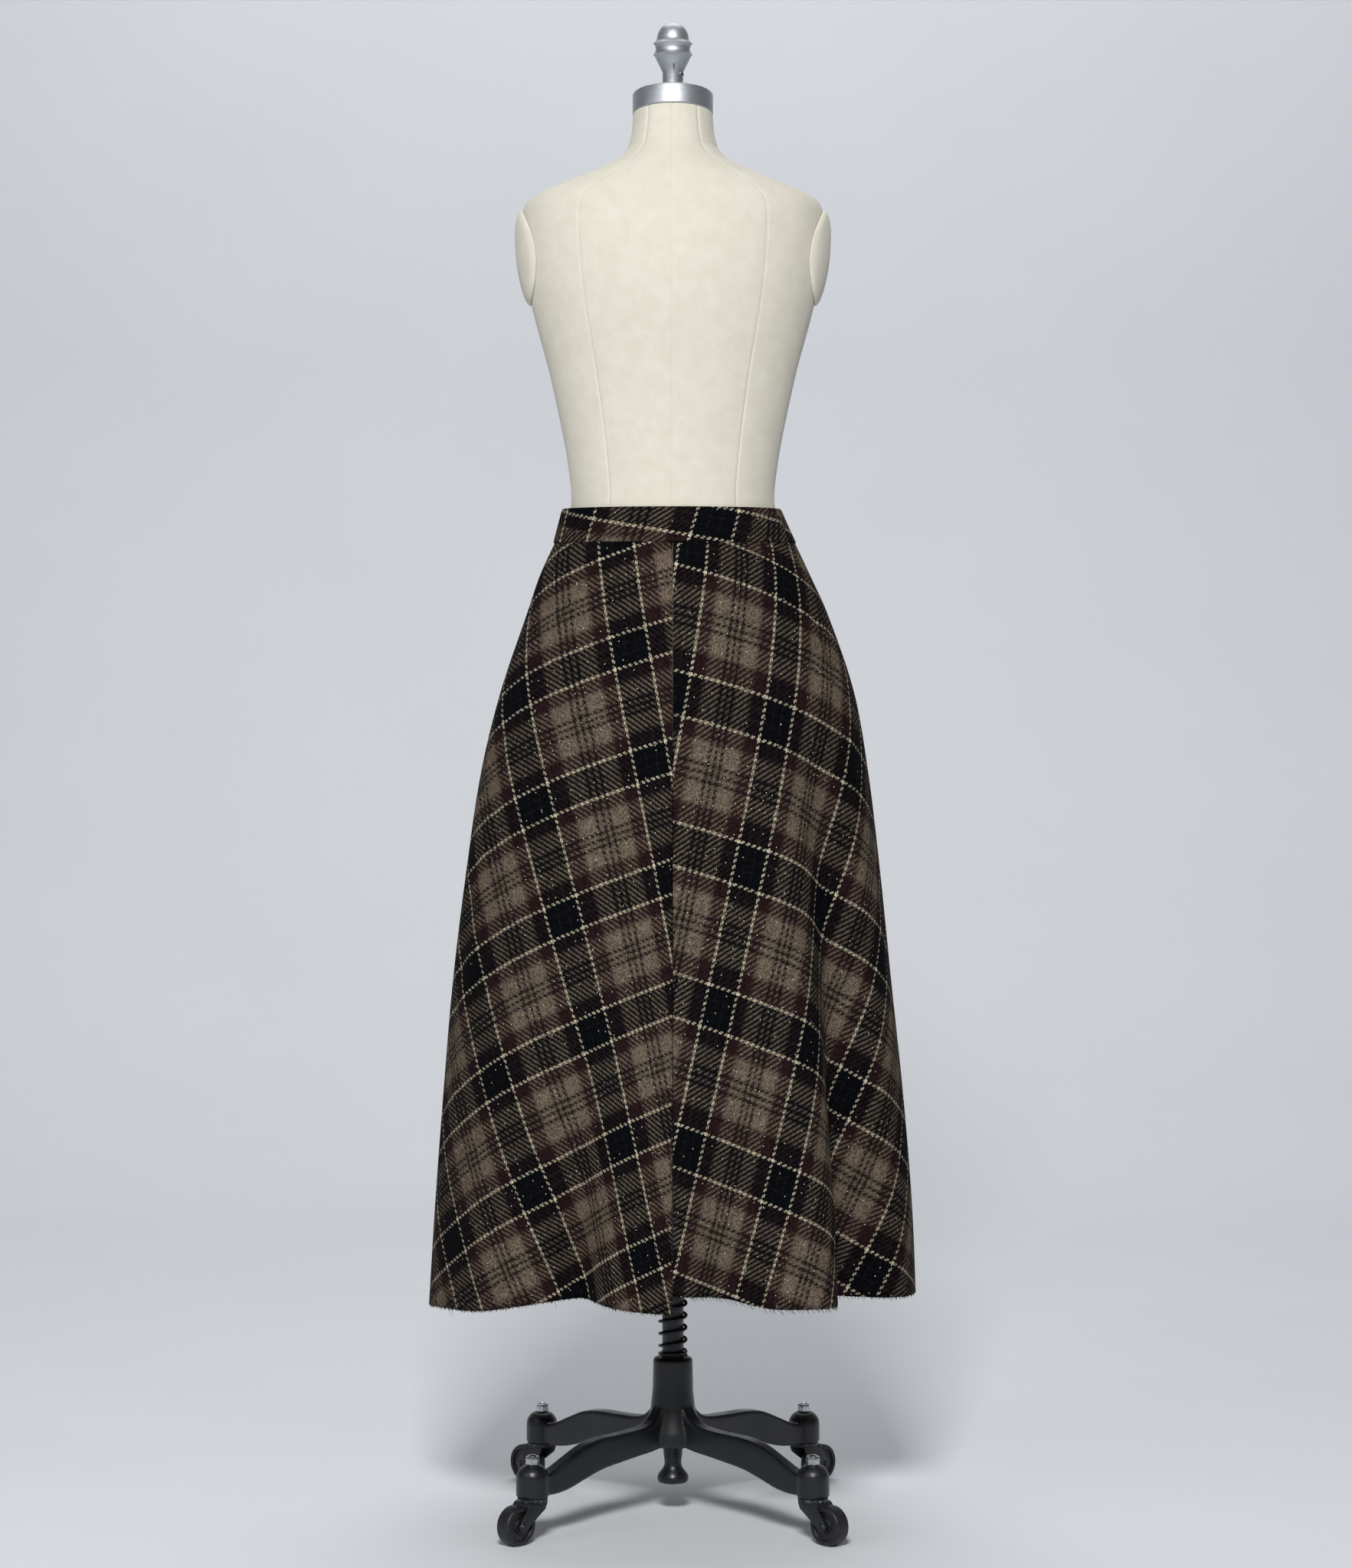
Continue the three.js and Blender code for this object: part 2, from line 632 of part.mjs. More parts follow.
// Upright oblong with cut corners: one section of a leg, square to its reach.
function legRing({ reach, top, foot, width }) {
  const edge = width / 2;
  const cut = LEG_CORNER;
  const corners = [
    [edge, foot + cut],
    [edge, top - cut],
    [edge - cut, top],
    [cut - edge, top],
    [-edge, top - cut],
    [-edge, foot + cut],
    [cut - edge, foot],
    [edge - cut, foot],
  ];
  return corners.map(([across, height]) => new THREE.Vector3(reach, across, height));
}

// Hub, four arched legs and their sockets are one casting, with the pole's bore through the hub.
function baseCasting() {
  const under = HUB_PROFILE[0][1];
  const hub = turnedGeometry([[0, under], ...HUB_PROFILE, [0, HUB_TOP]], HUB_SIDES);
  const boreProfile = [
    [0, under - HUB_BORE],
    [HUB_BORE, under - HUB_BORE],
    [HUB_BORE, HUB_TOP + HUB_BORE],
    [0, HUB_TOP + HUB_BORE],
  ];
  const bore = turnedGeometry(boreProfile, HUB_SIDES);
  const socketProfile = [[0, SOCKET_FOOT], ...SOCKET_PROFILE, [0, SOCKET_TOP]];
  const pieces = [hub];
  for (let k = 0; k < 4; k += 1) {
    const turn = Math.PI / 4 + (k * Math.PI) / 2;
    pieces.push(loftGeometry(LEG_SECTIONS.map(legRing)).rotateZ(turn));
    pieces.push(turnedGeometry(socketProfile, SOCKET_SIDES).translate(LEG_SPAN, 0, 0).rotateZ(turn));
  }
  return fromManifold(joined(pieces).subtract(toManifold(bore)));
}

// Swivel race, crown, two arms and the riveted axle, with the swivel axis on Z and the wheel towards +X.
function casterFork() {
  const raceProfile = [
    [0, FORK_CROWN],
    [RACE_RADIUS - 1.5, FORK_CROWN],
    [RACE_RADIUS, FORK_CROWN + 2],
    [RACE_RADIUS, SOCKET_FOOT - SEAM_GAP],
    [0, SOCKET_FOOT - SEAM_GAP],
  ];
  const race = turnedGeometry(raceProfile, RACE_SIDES);
  const gap = WHEEL_WIDTH / 2 + WHEEL_GAP;
  const width = 2 * (gap + FORK_PLATE);
  const arm = new THREE.Shape(FORK_ARM.map(([out, height]) => new THREE.Vector2(out, height)));
  const plate = new THREE.ExtrudeGeometry(arm, { depth: FORK_PLATE, bevelEnabled: false });
  plate.rotateX(Math.PI / 2);
  const near = plate.clone().translate(0, -gap, 0);
  const far = plate.clone().translate(0, gap + FORK_PLATE, 0);
  const crown = new THREE.BoxGeometry(FORK_OUTER - FORK_INNER, width, FORK_PLATE);
  crown.translate((FORK_INNER + FORK_OUTER) / 2, 0, FORK_CROWN + FORK_PLATE / 2);
  const axle = new THREE.CylinderGeometry(AXLE_RADIUS, AXLE_RADIUS, width + 2 * AXLE_HEAD, AXLE_SIDES);
  axle.translate(CASTER_TRAIL, 0, WHEEL_RADIUS);
  return fromManifold(joined([race, crown, near, far, axle]));
}

// A flat of the wheel's outline lies on the floor.
function casterWheel() {
  const corner = WHEEL_RADIUS / Math.cos(Math.PI / WHEEL_SIDES);
  const bore = AXLE_RADIUS + SEAM_GAP;
  const half = WHEEL_WIDTH / 2;
  const profile = [
    [bore, -half],
    [corner - WHEEL_CHAMFER, -half],
    [corner, WHEEL_CHAMFER - half],
    [corner, half - WHEEL_CHAMFER],
    [corner - WHEEL_CHAMFER, half],
    [bore, half],
    [bore, -half],
  ];
  return turnedGeometry(profile, WHEEL_SIDES)
    .rotateZ(Math.PI / WHEEL_SIDES + Math.PI / 2)
    .rotateX(Math.PI / 2)
    .translate(CASTER_TRAIL, 0, WHEEL_RADIUS);
}

// Skirt
const body = skirtBody();
addPart('skirt_body', wallGeometry(body.outer, body.inner), wool);
addPart('waistband', waistband(), wool);
addPart('hem_fray', hemFray(body.outer.at(-1), body.inner.at(-1)), wool);

// Form
addPart('form_torso', formTorso(), canvas);
addPart('arm_plate_left', armPlate(-1), canvas);
addPart('arm_plate_right', armPlate(1), canvas);

const cap = addPart('neck_cap', neckCap(), aluminium);
cap.rotation.x = -Math.atan(NECK_SLOPE);
cap.position.set(0, 0, NECK_HEIGHT + SEAM_GAP);
const capTop = NECK_HEIGHT + 2 * SEAM_GAP + CAP_HEIGHT * Math.sqrt(1 + NECK_SLOPE ** 2);
addPart('finial', finial(capTop), aluminium);

const { angle, depth, radius, length, sides } = FINIAL_SCREW;
const screw = addPart('finial_screw', new THREE.CylinderGeometry(radius, radius, length, sides), chrome);
const screwReach = FINIAL_PROFILE[0].radius + SEAM_GAP + length / 2;
const screwTurn = radians(angle);
screw.position.x = screwReach * Math.sin(screwTurn);
screw.position.y = -screwReach * Math.cos(screwTurn);
screw.position.z = FINIAL_TOP - depth;
screw.rotation.z = screwTurn;

// Stand
const formFoot = FORM_SECTIONS[0].height;
const flangeTop = formFoot - SEAM_GAP;
const bare = POLE_RADIUS - POLE_WALL;
const poleProfile = [
  [bare, POLE_FOOT],
  [POLE_RADIUS, POLE_FOOT],
  [POLE_RADIUS, flangeTop - FLANGE_THICKNESS],
  [FLANGE_RADIUS, flangeTop - FLANGE_THICKNESS],
  [FLANGE_RADIUS, flangeTop],
  [bare, flangeTop],
  [bare, POLE_FOOT],
];
addPart('pole', turnedGeometry(poleProfile, POLE_SIDES), enamel);

const footTop = POLE_FOOT - SEAM_GAP;
const footProfile = [[0, FOOT_PROFILE[0][1]], ...FOOT_PROFILE, [POLE_RADIUS - 0.1, footTop], [0, footTop]];
addPart('pole_foot', turnedGeometry(footProfile, FOOT_SIDES), enamel);

const springFoot = HUB_TOP + SEAM_GAP + SPRING_WIRE;
addPart('pole_spring', poleSpring(), spring_steel).position.z = springFoot;
const springClimb = SPRING_TURNS * SPRING_PITCH + 2 * SPRING_CLOSE_PITCH;
const springTop = springFoot + springClimb + SPRING_WIRE;
const collarFoot = springTop + SEAM_GAP;
const collarBore = POLE_RADIUS + SEAM_GAP;
const collarProfile = [
  [collarBore, collarFoot],
  [COLLAR_RADIUS, collarFoot],
  [COLLAR_RADIUS, collarFoot + COLLAR_HEIGHT],
  [collarBore, collarFoot + COLLAR_HEIGHT],
  [collarBore, collarFoot],
];
addPart('spring_collar', turnedGeometry(collarProfile, POLE_SIDES), enamel);
addPart('base_casting', baseCasting(), enamel);

// Casters, named by where they stand: each trails straight out from the pole
const corners = { front_right: 45, front_left: 135, back_left: 225, back_right: 315 };
for (const [corner, turn] of Object.entries(corners)) {
  const spoke = new THREE.Group();
  spoke.rotation.z = radians(turn);
  const caster = new THREE.Group();
  caster.position.x = LEG_SPAN;
  spoke.add(caster);
  part.add(spoke);
  const nut = new THREE.CylinderGeometry(NUT_RADIUS, NUT_RADIUS, NUT_HEIGHT, 6).rotateX(Math.PI / 2);
  nut.translate(0, 0, SOCKET_TOP + SEAM_GAP + NUT_HEIGHT / 2);
  addPart(`caster_nut_${corner}`, nut, chrome, caster);
  addPart(`caster_fork_${corner}`, casterFork(), enamel, caster);
  addPart(`caster_wheel_${corner}`, casterWheel(), wheel_plastic, caster);
}

export default part;
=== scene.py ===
import math

import bpy
import numpy as np
from mathutils import Matrix, Vector


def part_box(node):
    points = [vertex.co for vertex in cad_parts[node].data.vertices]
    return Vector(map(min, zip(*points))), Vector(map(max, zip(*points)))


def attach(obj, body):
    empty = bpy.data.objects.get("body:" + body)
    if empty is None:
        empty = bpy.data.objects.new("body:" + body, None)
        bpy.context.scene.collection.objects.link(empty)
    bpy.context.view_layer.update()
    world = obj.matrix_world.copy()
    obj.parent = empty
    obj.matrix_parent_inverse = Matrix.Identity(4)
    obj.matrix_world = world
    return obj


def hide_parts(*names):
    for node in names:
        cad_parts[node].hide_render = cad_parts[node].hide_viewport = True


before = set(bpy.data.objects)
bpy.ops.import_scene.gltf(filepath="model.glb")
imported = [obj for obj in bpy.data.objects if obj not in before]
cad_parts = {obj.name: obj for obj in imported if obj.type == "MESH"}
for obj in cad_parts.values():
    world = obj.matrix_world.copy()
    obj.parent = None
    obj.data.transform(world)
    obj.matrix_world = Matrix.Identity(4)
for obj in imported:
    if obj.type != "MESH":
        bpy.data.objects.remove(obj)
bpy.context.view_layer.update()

# Base casting
# Hub, four arched legs and their caster sockets are one rough iron casting with soft fillets.
# It is dipped in black enamel, which has worn and chipped along the edges and on the sockets.
MM = 0.001
LEG_TURN = math.pi / 4  # the legs stand on the diagonals
LEG_SPAN = 220.6  # from the pole to the swivel axis of a caster
LEG_ROWS = [  # reach, top, foot, width in mm
    (16, 138, 79, 15),
    (22, 129, 79, 18),
    (30, 116, 78, 20.5),
    (42, 107.5, 76, 21),
    (62, 104, 74, 20.5),
    (88, 103, 71, 20),
    (119, 102, 67, 19.5),
    (143, 98, 61, 19.5),
    (170, 87, 53, 19.5),
    (193, 77, 50, 20),
    (212, 73, 51, 20),
]
LEG_STATIONS = 30
HUB_UNDERSIDE, HUB_TOP, HUB_BORE = 78, 179, 13.0
SOCKET_RADIUS, SOCKET_FOOT, SOCKET_TOP = 18.5, 50.5, 86
CASTING_VOXEL = 1.5  # fine enough to keep the legs' rounded edges


def linear(colour):
    """Linear RGBA of an sRGB hex colour."""
    channels = [int(colour[i:i + 2], 16) / 255 for i in (0, 2, 4)]
    return [c / 12.92 if c <= 0.04045 else ((c + 0.055) / 1.055) ** 2.4 for c in channels] + [1.0]


def new_material(name):
    material = bpy.data.materials.new(name)
    material.use_nodes = True
    return material, material.node_tree, material.node_tree.nodes["Principled BSDF"]


def add_node(tree, kind, settings=None, inputs=None):
    """Adds a node with its properties, and sets or links its inputs by name or number."""
    node = tree.nodes.new(kind)
    for name, value in (settings or {}).items():
        setattr(node, name, value)
    for name, value in (inputs or {}).items():
        if isinstance(value, bpy.types.NodeSocket):
            tree.links.new(value, node.inputs[name])
        else:
            node.inputs[name].default_value = value
    return node


def smooth_curve(rows, column, at):
    """One column of a table at places along its first column, on a smooth curve through the rows."""
    places = np.array([row[0] for row in rows], float)
    values = np.array([row[column] for row in rows], float)
    number = np.arange(len(rows))
    before = np.maximum(number - 1, 0)
    after = np.minimum(number + 1, len(rows) - 1)
    slopes = (values[after] - values[before]) / (places[after] - places[before])
    i = np.clip(np.searchsorted(places, at) - 1, 0, len(rows) - 2)
    span = places[i + 1] - places[i]
    t = (at - places[i]) / span
    level = (1 + 2 * t) * (1 - t) ** 2 * values[i] + t * t * (3 - 2 * t) * values[i + 1]
    return level + span * (t * (1 - t) ** 2 * slopes[i] + t * t * (t - 1) * slopes[i + 1])


def start_piece(name, points, edges=(), faces=()):
    """New selected object with this mesh, alone in the selection."""
    bpy.ops.object.select_all(action="DESELECT")
    mesh = bpy.data.meshes.new(name)
    mesh.from_pydata([tuple(p) for p in points], list(edges), list(faces))
    piece = bpy.data.objects.new(name, mesh)
    bpy.context.collection.objects.link(piece)
    bpy.context.view_layer.objects.active = piece
    piece.select_set(True)
    return piece


def turned(name, profile, steps=64):
    """Spins (radius, height) pairs in millimetres round the Z axis."""
    points = [(radius * MM, 0, height * MM) for radius, height in profile]
    piece = start_piece(name, points, [(i, i + 1) for i in range(len(points) - 1)])
    bpy.ops.object.mode_set(mode="EDIT")
    bpy.ops.mesh.select_all(action="SELECT")
    bpy.ops.mesh.spin(steps=steps, angle=2 * math.pi, center=(0, 0, 0), axis=(0, 0, 1))
    bpy.ops.mesh.select_all(action="SELECT")
    bpy.ops.mesh.remove_doubles(threshold=1e-6)
    bpy.ops.mesh.normals_make_consistent(inside=False)
    bpy.ops.object.mode_set(mode="OBJECT")
    return piece


def apply_modifier(piece, kind, **settings):
    bpy.context.view_layer.objects.active = piece
    modifier = piece.modifiers.new(kind.title(), kind)
    for name, value in settings.items():
        setattr(modifier, name, value)
    bpy.ops.object.modifier_apply(modifier=modifier.name)


def round_edges(piece, width, segments=3, angle=30):
    """Rounds the edges that are sharper than an angle, and shades the rest smooth."""
    apply_modifier(
        piece,
        "BEVEL",
        width=width * MM,
        segments=segments,
        limit_method="ANGLE",
        angle_limit=math.radians(angle),
        harden_normals=False,
    )
    shade(piece)


def shade(piece, angle=40):
    bpy.ops.object.select_all(action="DESELECT")
    piece.select_set(True)
    bpy.context.view_layer.objects.active = piece
    bpy.ops.object.shade_smooth_by_angle(angle=math.radians(angle))


def join(pieces, name):
    bpy.ops.object.select_all(action="DESELECT")
    for piece in pieces:
        piece.select_set(True)
    bpy.context.view_layer.objects.active = pieces[0]
    bpy.ops.object.join()
    pieces[0].name = name
    return pieces[0]


def turned_copy(piece, name, turn):
    """Copy with its own mesh, turned round the pole."""
    copy = bpy.data.objects.new(name, piece.data.copy())
    copy.data.transform(Matrix.Rotation(turn, 4, "Z"))
    bpy.context.collection.objects.link(copy)
    return copy


def fit(piece, material, body, slot, *nodes):
    """Gives a finished piece its material, its body and the solids that it stands for."""
    piece.data.materials.clear()
    piece.data.materials.append(material)
    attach(piece, body)
    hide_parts(*nodes)


def black_enamel(name, colour, gloss, chip_share):
    """Dipped black enamel: a soft sheen with an orange-peel skin, and grey iron where it has chipped off."""
    chip_size, peel_size, smear_size = 5 * MM, 2.5 * MM, 30 * MM
    material, tree, shader = new_material(name)
    place = add_node(tree, "ShaderNodeTexCoord").outputs["Object"]
    edge = add_node(tree, "ShaderNodeNewGeometry").outputs["Pointiness"]
    chips = add_node(
        tree,
        "ShaderNodeTexNoise",
        inputs={"Vector": place, "Scale": 1 / chip_size, "Detail": 6.0, "Roughness": 0.65},
    )
    smears = add_node(
        tree, "ShaderNodeTexNoise", inputs={"Vector": place, "Scale": 1 / smear_size, "Detail": 4.0}
    )
    worn = add_node(
        tree,
        "ShaderNodeMath",
        {"operation": "MULTIPLY_ADD"},
        {0: edge, 1: 1.6, 2: chips.outputs["Fac"]},
    )
    bare = add_node(
        tree,
        "ShaderNodeMapRange",
        {"interpolation_type": "SMOOTHSTEP"},
        {"Value": worn.outputs[0], "From Min": 1.62 - chip_share, "From Max": 1.7 - chip_share},
    )
    coat = add_node(
        tree,
        "ShaderNodeMix",
        {"data_type": "RGBA"},
        {"Factor": smears.outputs["Fac"], "A": linear(colour), "B": linear("15181c")},
    )
    skin = add_node(
        tree,
        "ShaderNodeMix",
        {"data_type": "RGBA"},
        {"Factor": bare.outputs[0], "A": coat.outputs["Result"], "B": linear("6d6f70")},
    )
    rough = add_node(
        tree,
        "ShaderNodeMapRange",
        inputs={"Value": smears.outputs["Fac"], "From Min": 0.3, "From Max": 0.7, "To Min": gloss, "To Max": gloss + 0.18},
    )
    peel = add_node(
        tree, "ShaderNodeTexNoise", inputs={"Vector": place, "Scale": 1 / peel_size, "Detail": 2.0}
    )
    bump = add_node(
        tree,
        "ShaderNodeBump",
        inputs={"Height": peel.outputs["Fac"], "Strength": 0.25, "Distance": 0.25 * MM},
    )
    tree.links.new(skin.outputs["Result"], shader.inputs["Base Color"])
    tree.links.new(rough.outputs[0], shader.inputs["Roughness"])
    tree.links.new(bump.outputs[0], shader.inputs["Normal"])
    return material


def leg():
    """A square section, extruded out from the hub station by station and sized at each."""
    reaches = np.linspace(LEG_ROWS[0][0], LEG_ROWS[-1][0], LEG_STATIONS)
    tops, feet, widths = (smooth_curve(LEG_ROWS, column, reaches) for column in (1, 2, 3))
    bpy.ops.object.select_all(action="DESELECT")
    bpy.ops.mesh.primitive_plane_add(
        size=MM, location=(reaches[0] * MM, 0, (tops[0] + feet[0]) / 2 * MM), rotation=(0, math.pi / 2, 0)
    )
    piece = bpy.context.object
    bpy.ops.object.transform_apply(location=True, rotation=True, scale=True)
    bpy.ops.object.mode_set(mode="EDIT")
    bpy.ops.mesh.select_all(action="SELECT")
    high, wide = 1.0, 1.0
    for i, reach in enumerate(reaches):
        middle = (tops[i] + feet[i]) / 2
        if i > 0:
            rise = middle - (tops[i - 1] + feet[i - 1]) / 2
            step = ((reach - reaches[i - 1]) * MM, 0, rise * MM)
            bpy.ops.mesh.extrude_region_move(TRANSFORM_OT_translate={"value": step})
        new_high, new_wide = tops[i] - feet[i], widths[i]
        bpy.ops.transform.resize(
            value=(1, new_wide / wide, new_high / high), center_override=(reach * MM, 0, middle * MM)
        )
        high, wide = new_high, new_wide
    bpy.ops.mesh.select_all(action="SELECT")
    bpy.ops.mesh.normals_make_consistent(inside=False)
    bpy.ops.object.mode_set(mode="OBJECT")
    apply_modifier(piece, "BEVEL", width=3.5 * MM, segments=3, limit_method="ANGLE", angle_limit=math.radians(50))
    return piece


hub = turned(
    "hub",
    [
        (HUB_BORE, HUB_UNDERSIDE),
        (28, HUB_UNDERSIDE),
        (33, 84),
        (33, 94),
        (29, 108),
        (25.5, 122),
        (23.4, 142),
        (22.6, 176.5),
        (20.8, HUB_TOP),
        (HUB_BORE, HUB_TOP),
        (HUB_BORE, HUB_UNDERSIDE),
    ],
)
socket = turned(
    "socket",
    [
        (0, SOCKET_FOOT),
        (SOCKET_RADIUS - 1.5, SOCKET_FOOT),
        (SOCKET_RADIUS, SOCKET_FOOT + 1.5),
        (SOCKET_RADIUS, 71),
        (SOCKET_RADIUS - 0.6, 76),
        (SOCKET_RADIUS - 2.6, 80.3),
        (SOCKET_RADIUS - 6, 84),
        (SOCKET_RADIUS - 9.5, SOCKET_TOP),
        (0, SOCKET_TOP),
    ],
    40,
)
socket.data.transform(Matrix.Translation((LEG_SPAN * MM, 0, 0)))
limb = join([leg(), socket], "limb")
limbs = [turned_copy(limb, f"limb_{k}", LEG_TURN + k * math.pi / 2) for k in range(4)]
bpy.data.objects.remove(limb)
casting = join([hub, *limbs], "iron_base")
casting.data.remesh_voxel_size = CASTING_VOXEL * MM
bpy.ops.object.voxel_remesh()
apply_modifier(casting, "SMOOTH", factor=0.5, iterations=5)
bpy.ops.object.shade_smooth()
cast_enamel = black_enamel("black_enamel_on_cast_iron", "0a0c0e", 0.3, 0.1)
fit(casting, cast_enamel, "base", "black_iron", "base_casting")

# Caster nuts
# A plated steel hex nut with chamfered corners holds each caster's stem in its socket.
# The stem's end stands a little proud of the nut, domed by the tool that cut its thread.
NUT_RADIUS, NUT_FOOT, NUT_HEIGHT = 8, 86.3, 9.6
STEM_RADIUS, STEM_PROUD = 4.4, 1.9
CORNERS = ("front_right", "front_left", "back_left", "back_right")


def plated_steel(name, colour, roughness):
    """Bright plated steel, dulled by fine scratches and handling."""
    scratch_size = 1.2 * MM
    material, tree, shader = new_material(name)
    place = add_node(tree, "ShaderNodeTexCoord").outputs["Object"]
    stretch = add_node(tree, "ShaderNodeMapping", inputs={"Vector": place, "Scale": (1, 1, 0.15)})
    scratches = add_node(
        tree,
        "ShaderNodeTexNoise",
        inputs={"Vector": stretch.outputs[0], "Scale": 1 / scratch_size, "Detail": 5.0},
    )
    tarnish = add_node(
        tree,
        "ShaderNodeMix",
        {"data_type": "RGBA"},
        {"Factor": scratches.outputs["Fac"], "A": linear(colour), "B": linear("8b8d90")},
    )
    rough = add_node(
        tree,
        "ShaderNodeMapRange",
        inputs={"Value": scratches.outputs["Fac"], "To Min": roughness * 0.7, "To Max": roughness * 1.4},
    )
    tree.links.new(tarnish.outputs["Result"], shader.inputs["Base Color"])
    tree.links.new(rough.outputs[0], shader.inputs["Roughness"])
    shader.inputs["Metallic"].default_value = 1.0
    return material


bpy.ops.object.select_all(action="DESELECT")
bpy.ops.mesh.primitive_cylinder_add(
    vertices=6,
    radius=NUT_RADIUS * MM,
    depth=NUT_HEIGHT * MM,
    location=(LEG_SPAN * MM, 0, (NUT_FOOT + NUT_HEIGHT / 2) * MM),
)
nut = bpy.context.object
bpy.ops.object.transform_apply(location=True, rotation=True, scale=True)
round_edges(nut, 0.9, 2)
stem = turned(
    "stem",
    [
        (0, NUT_FOOT + 1),
        (STEM_RADIUS, NUT_FOOT + 1),
        (STEM_RADIUS, NUT_FOOT + NUT_HEIGHT + 0.6),
        (STEM_RADIUS - 0.9, NUT_FOOT + NUT_HEIGHT + STEM_PROUD - 0.4),
        (0, NUT_FOOT + NUT_HEIGHT + STEM_PROUD),
    ],
    24,
)
stem.data.transform(Matrix.Translation((LEG_SPAN * MM, 0, 0)))
nut = join([nut, stem], "nut")
chrome = plated_steel("chrome_plated_steel", "d3d6d9", 0.22)
for k, corner in enumerate(CORNERS):
    piece = turned_copy(nut, f"nut_{corner}", LEG_TURN + k * math.pi / 2)
    shade(piece)
    fit(piece, chrome, "base", "chrome", f"caster_nut_{corner}")
bpy.data.objects.remove(nut)

# Caster forks
# Pressed steel yoke under a toothed ball race: two tapered arms, a crown with a lip that curls
# down over the wheel, and a riveted axle. Painted black with the stand.
WHEEL_RADIUS, WHEEL_WIDTH, CASTER_TRAIL = 22, 19, 25
FORK_PLATE, FORK_CROWN = 2.5, 44.6
FORK_GAP = WHEEL_WIDTH / 2 + 1
RACE_TEETH = 22
AXLE_X = LEG_SPAN + CASTER_TRAIL


def extruded(name, outline, start, end):
    """An outline of (x, z) pairs in millimetres, extruded along Y from start to end."""
    points = [(x * MM, start * MM, z * MM) for x, z in outline]
    piece = start_piece(name, points, faces=[range(len(points))])
    bpy.ops.object.mode_set(mode="EDIT")
    bpy.ops.mesh.select_all(action="SELECT")
    bpy.ops.mesh.extrude_region_move(TRANSFORM_OT_translate={"value": (0, (end - start) * MM, 0)})
    bpy.ops.mesh.select_all(action="SELECT")
    bpy.ops.mesh.normals_make_consistent(inside=False)
    bpy.ops.object.mode_set(mode="OBJECT")
    return piece


def ball_race():
    """A ring with teeth: every other side face of a drum is pushed out."""
    bpy.ops.object.select_all(action="DESELECT")
    bpy.ops.mesh.primitive_cylinder_add(
        vertices=2 * RACE_TEETH, radius=15.6 * MM, depth=3.4 * MM, location=(LEG_SPAN * MM, 0, 48.2 * MM)
    )
    race = bpy.context.object
    bpy.ops.object.transform_apply(location=True, rotation=True, scale=True)
    sides = [face for face in race.data.polygons if abs(face.normal.z) < 0.5]
    for part in (race.data.vertices, race.data.edges, race.data.polygons):
        part.foreach_set("select", [False] * len(part))
    sides.sort(key=lambda face: math.atan2(face.normal.y, face.normal.x))
    for face in sides[::2]:
        face.select = True
    bpy.ops.object.mode_set(mode="EDIT")
    bpy.ops.mesh.select_mode(type="FACE")
    bpy.ops.mesh.extrude_faces_move(TRANSFORM_OT_shrink_fatten={"value": 1.3 * MM})
    bpy.ops.object.mode_set(mode="OBJECT")
    return race


arm_outline = [
    (LEG_SPAN - 11, FORK_CROWN + 2.5),
    (LEG_SPAN - 11, FORK_CROWN),
    (LEG_SPAN - 8, FORK_CROWN - 7),
    (AXLE_X - 6.3, WHEEL_RADIUS - 2.6),
    (AXLE_X - 4.6, WHEEL_RADIUS - 5),
    (AXLE_X - 1.4, WHEEL_RADIUS - 6.4),
    (AXLE_X + 2.2, WHEEL_RADIUS - 6.1),
    (AXLE_X + 5, WHEEL_RADIUS - 3.9),
    (AXLE_X + 6.5, WHEEL_RADIUS),
    (LEG_SPAN + 18, FORK_CROWN - 4),
    (LEG_SPAN + 13, FORK_CROWN + 2.5),
]
crown_outline = [
    (LEG_SPAN - 11, FORK_CROWN),
    (LEG_SPAN + 13, FORK_CROWN),
    (LEG_SPAN + 17.4, FORK_CROWN - 3.2),
    (LEG_SPAN + 19, FORK_CROWN - 2.4),
    (LEG_SPAN + 15.5, FORK_CROWN + 1.6),
    (LEG_SPAN + 12.5, FORK_CROWN + 2.5),
    (LEG_SPAN - 11, FORK_CROWN + 2.5),
]
fork_side = FORK_GAP + FORK_PLATE
fork_parts = [
    extruded("near_arm", arm_outline, -fork_side, -FORK_GAP),
    extruded("far_arm", arm_outline, FORK_GAP, fork_side),
    extruded("crown", crown_outline, -fork_side, fork_side),
]
for piece in fork_parts:
    round_edges(piece, 0.6, 2)
race = ball_race()
race_seat = turned("race_seat", [(0, 46.6), (16.2, 46.6), (17, 47.6), (17, 48.6), (16.2, 50.1), (0, 50.1)], 40)
race_seat.data.transform(Matrix.Translation((LEG_SPAN * MM, 0, 0)) @ Matrix.Diagonal((0.86, 0.86, 1, 1)))
axle = turned(
    "axle",
    [
        (0, -fork_side - 2),
        (2.6, -fork_side - 1.7),
        (3.8, -fork_side),
        (3.2, -fork_side),
        (3.2, fork_side),
        (3.8, fork_side),
        (2.6, fork_side + 1.7),
        (0, fork_side + 2),
    ],
    20,
)
axle.data.transform(
    Matrix.Translation((AXLE_X * MM, 0, WHEEL_RADIUS * MM)) @ Matrix.Rotation(math.pi / 2, 4, "X")
)
fork = join([*fork_parts, race, race_seat, axle], "fork")
painted_steel = black_enamel("black_painted_steel", "0f1012", 0.36, 0.06)
for k, corner in enumerate(CORNERS):
    piece = turned_copy(fork, f"fork_{corner}", LEG_TURN + k * math.pi / 2)
    shade(piece)
    fit(piece, painted_steel, f"caster_{corner}", "black_steel", f"caster_fork_{corner}")
bpy.data.objects.remove(fork)

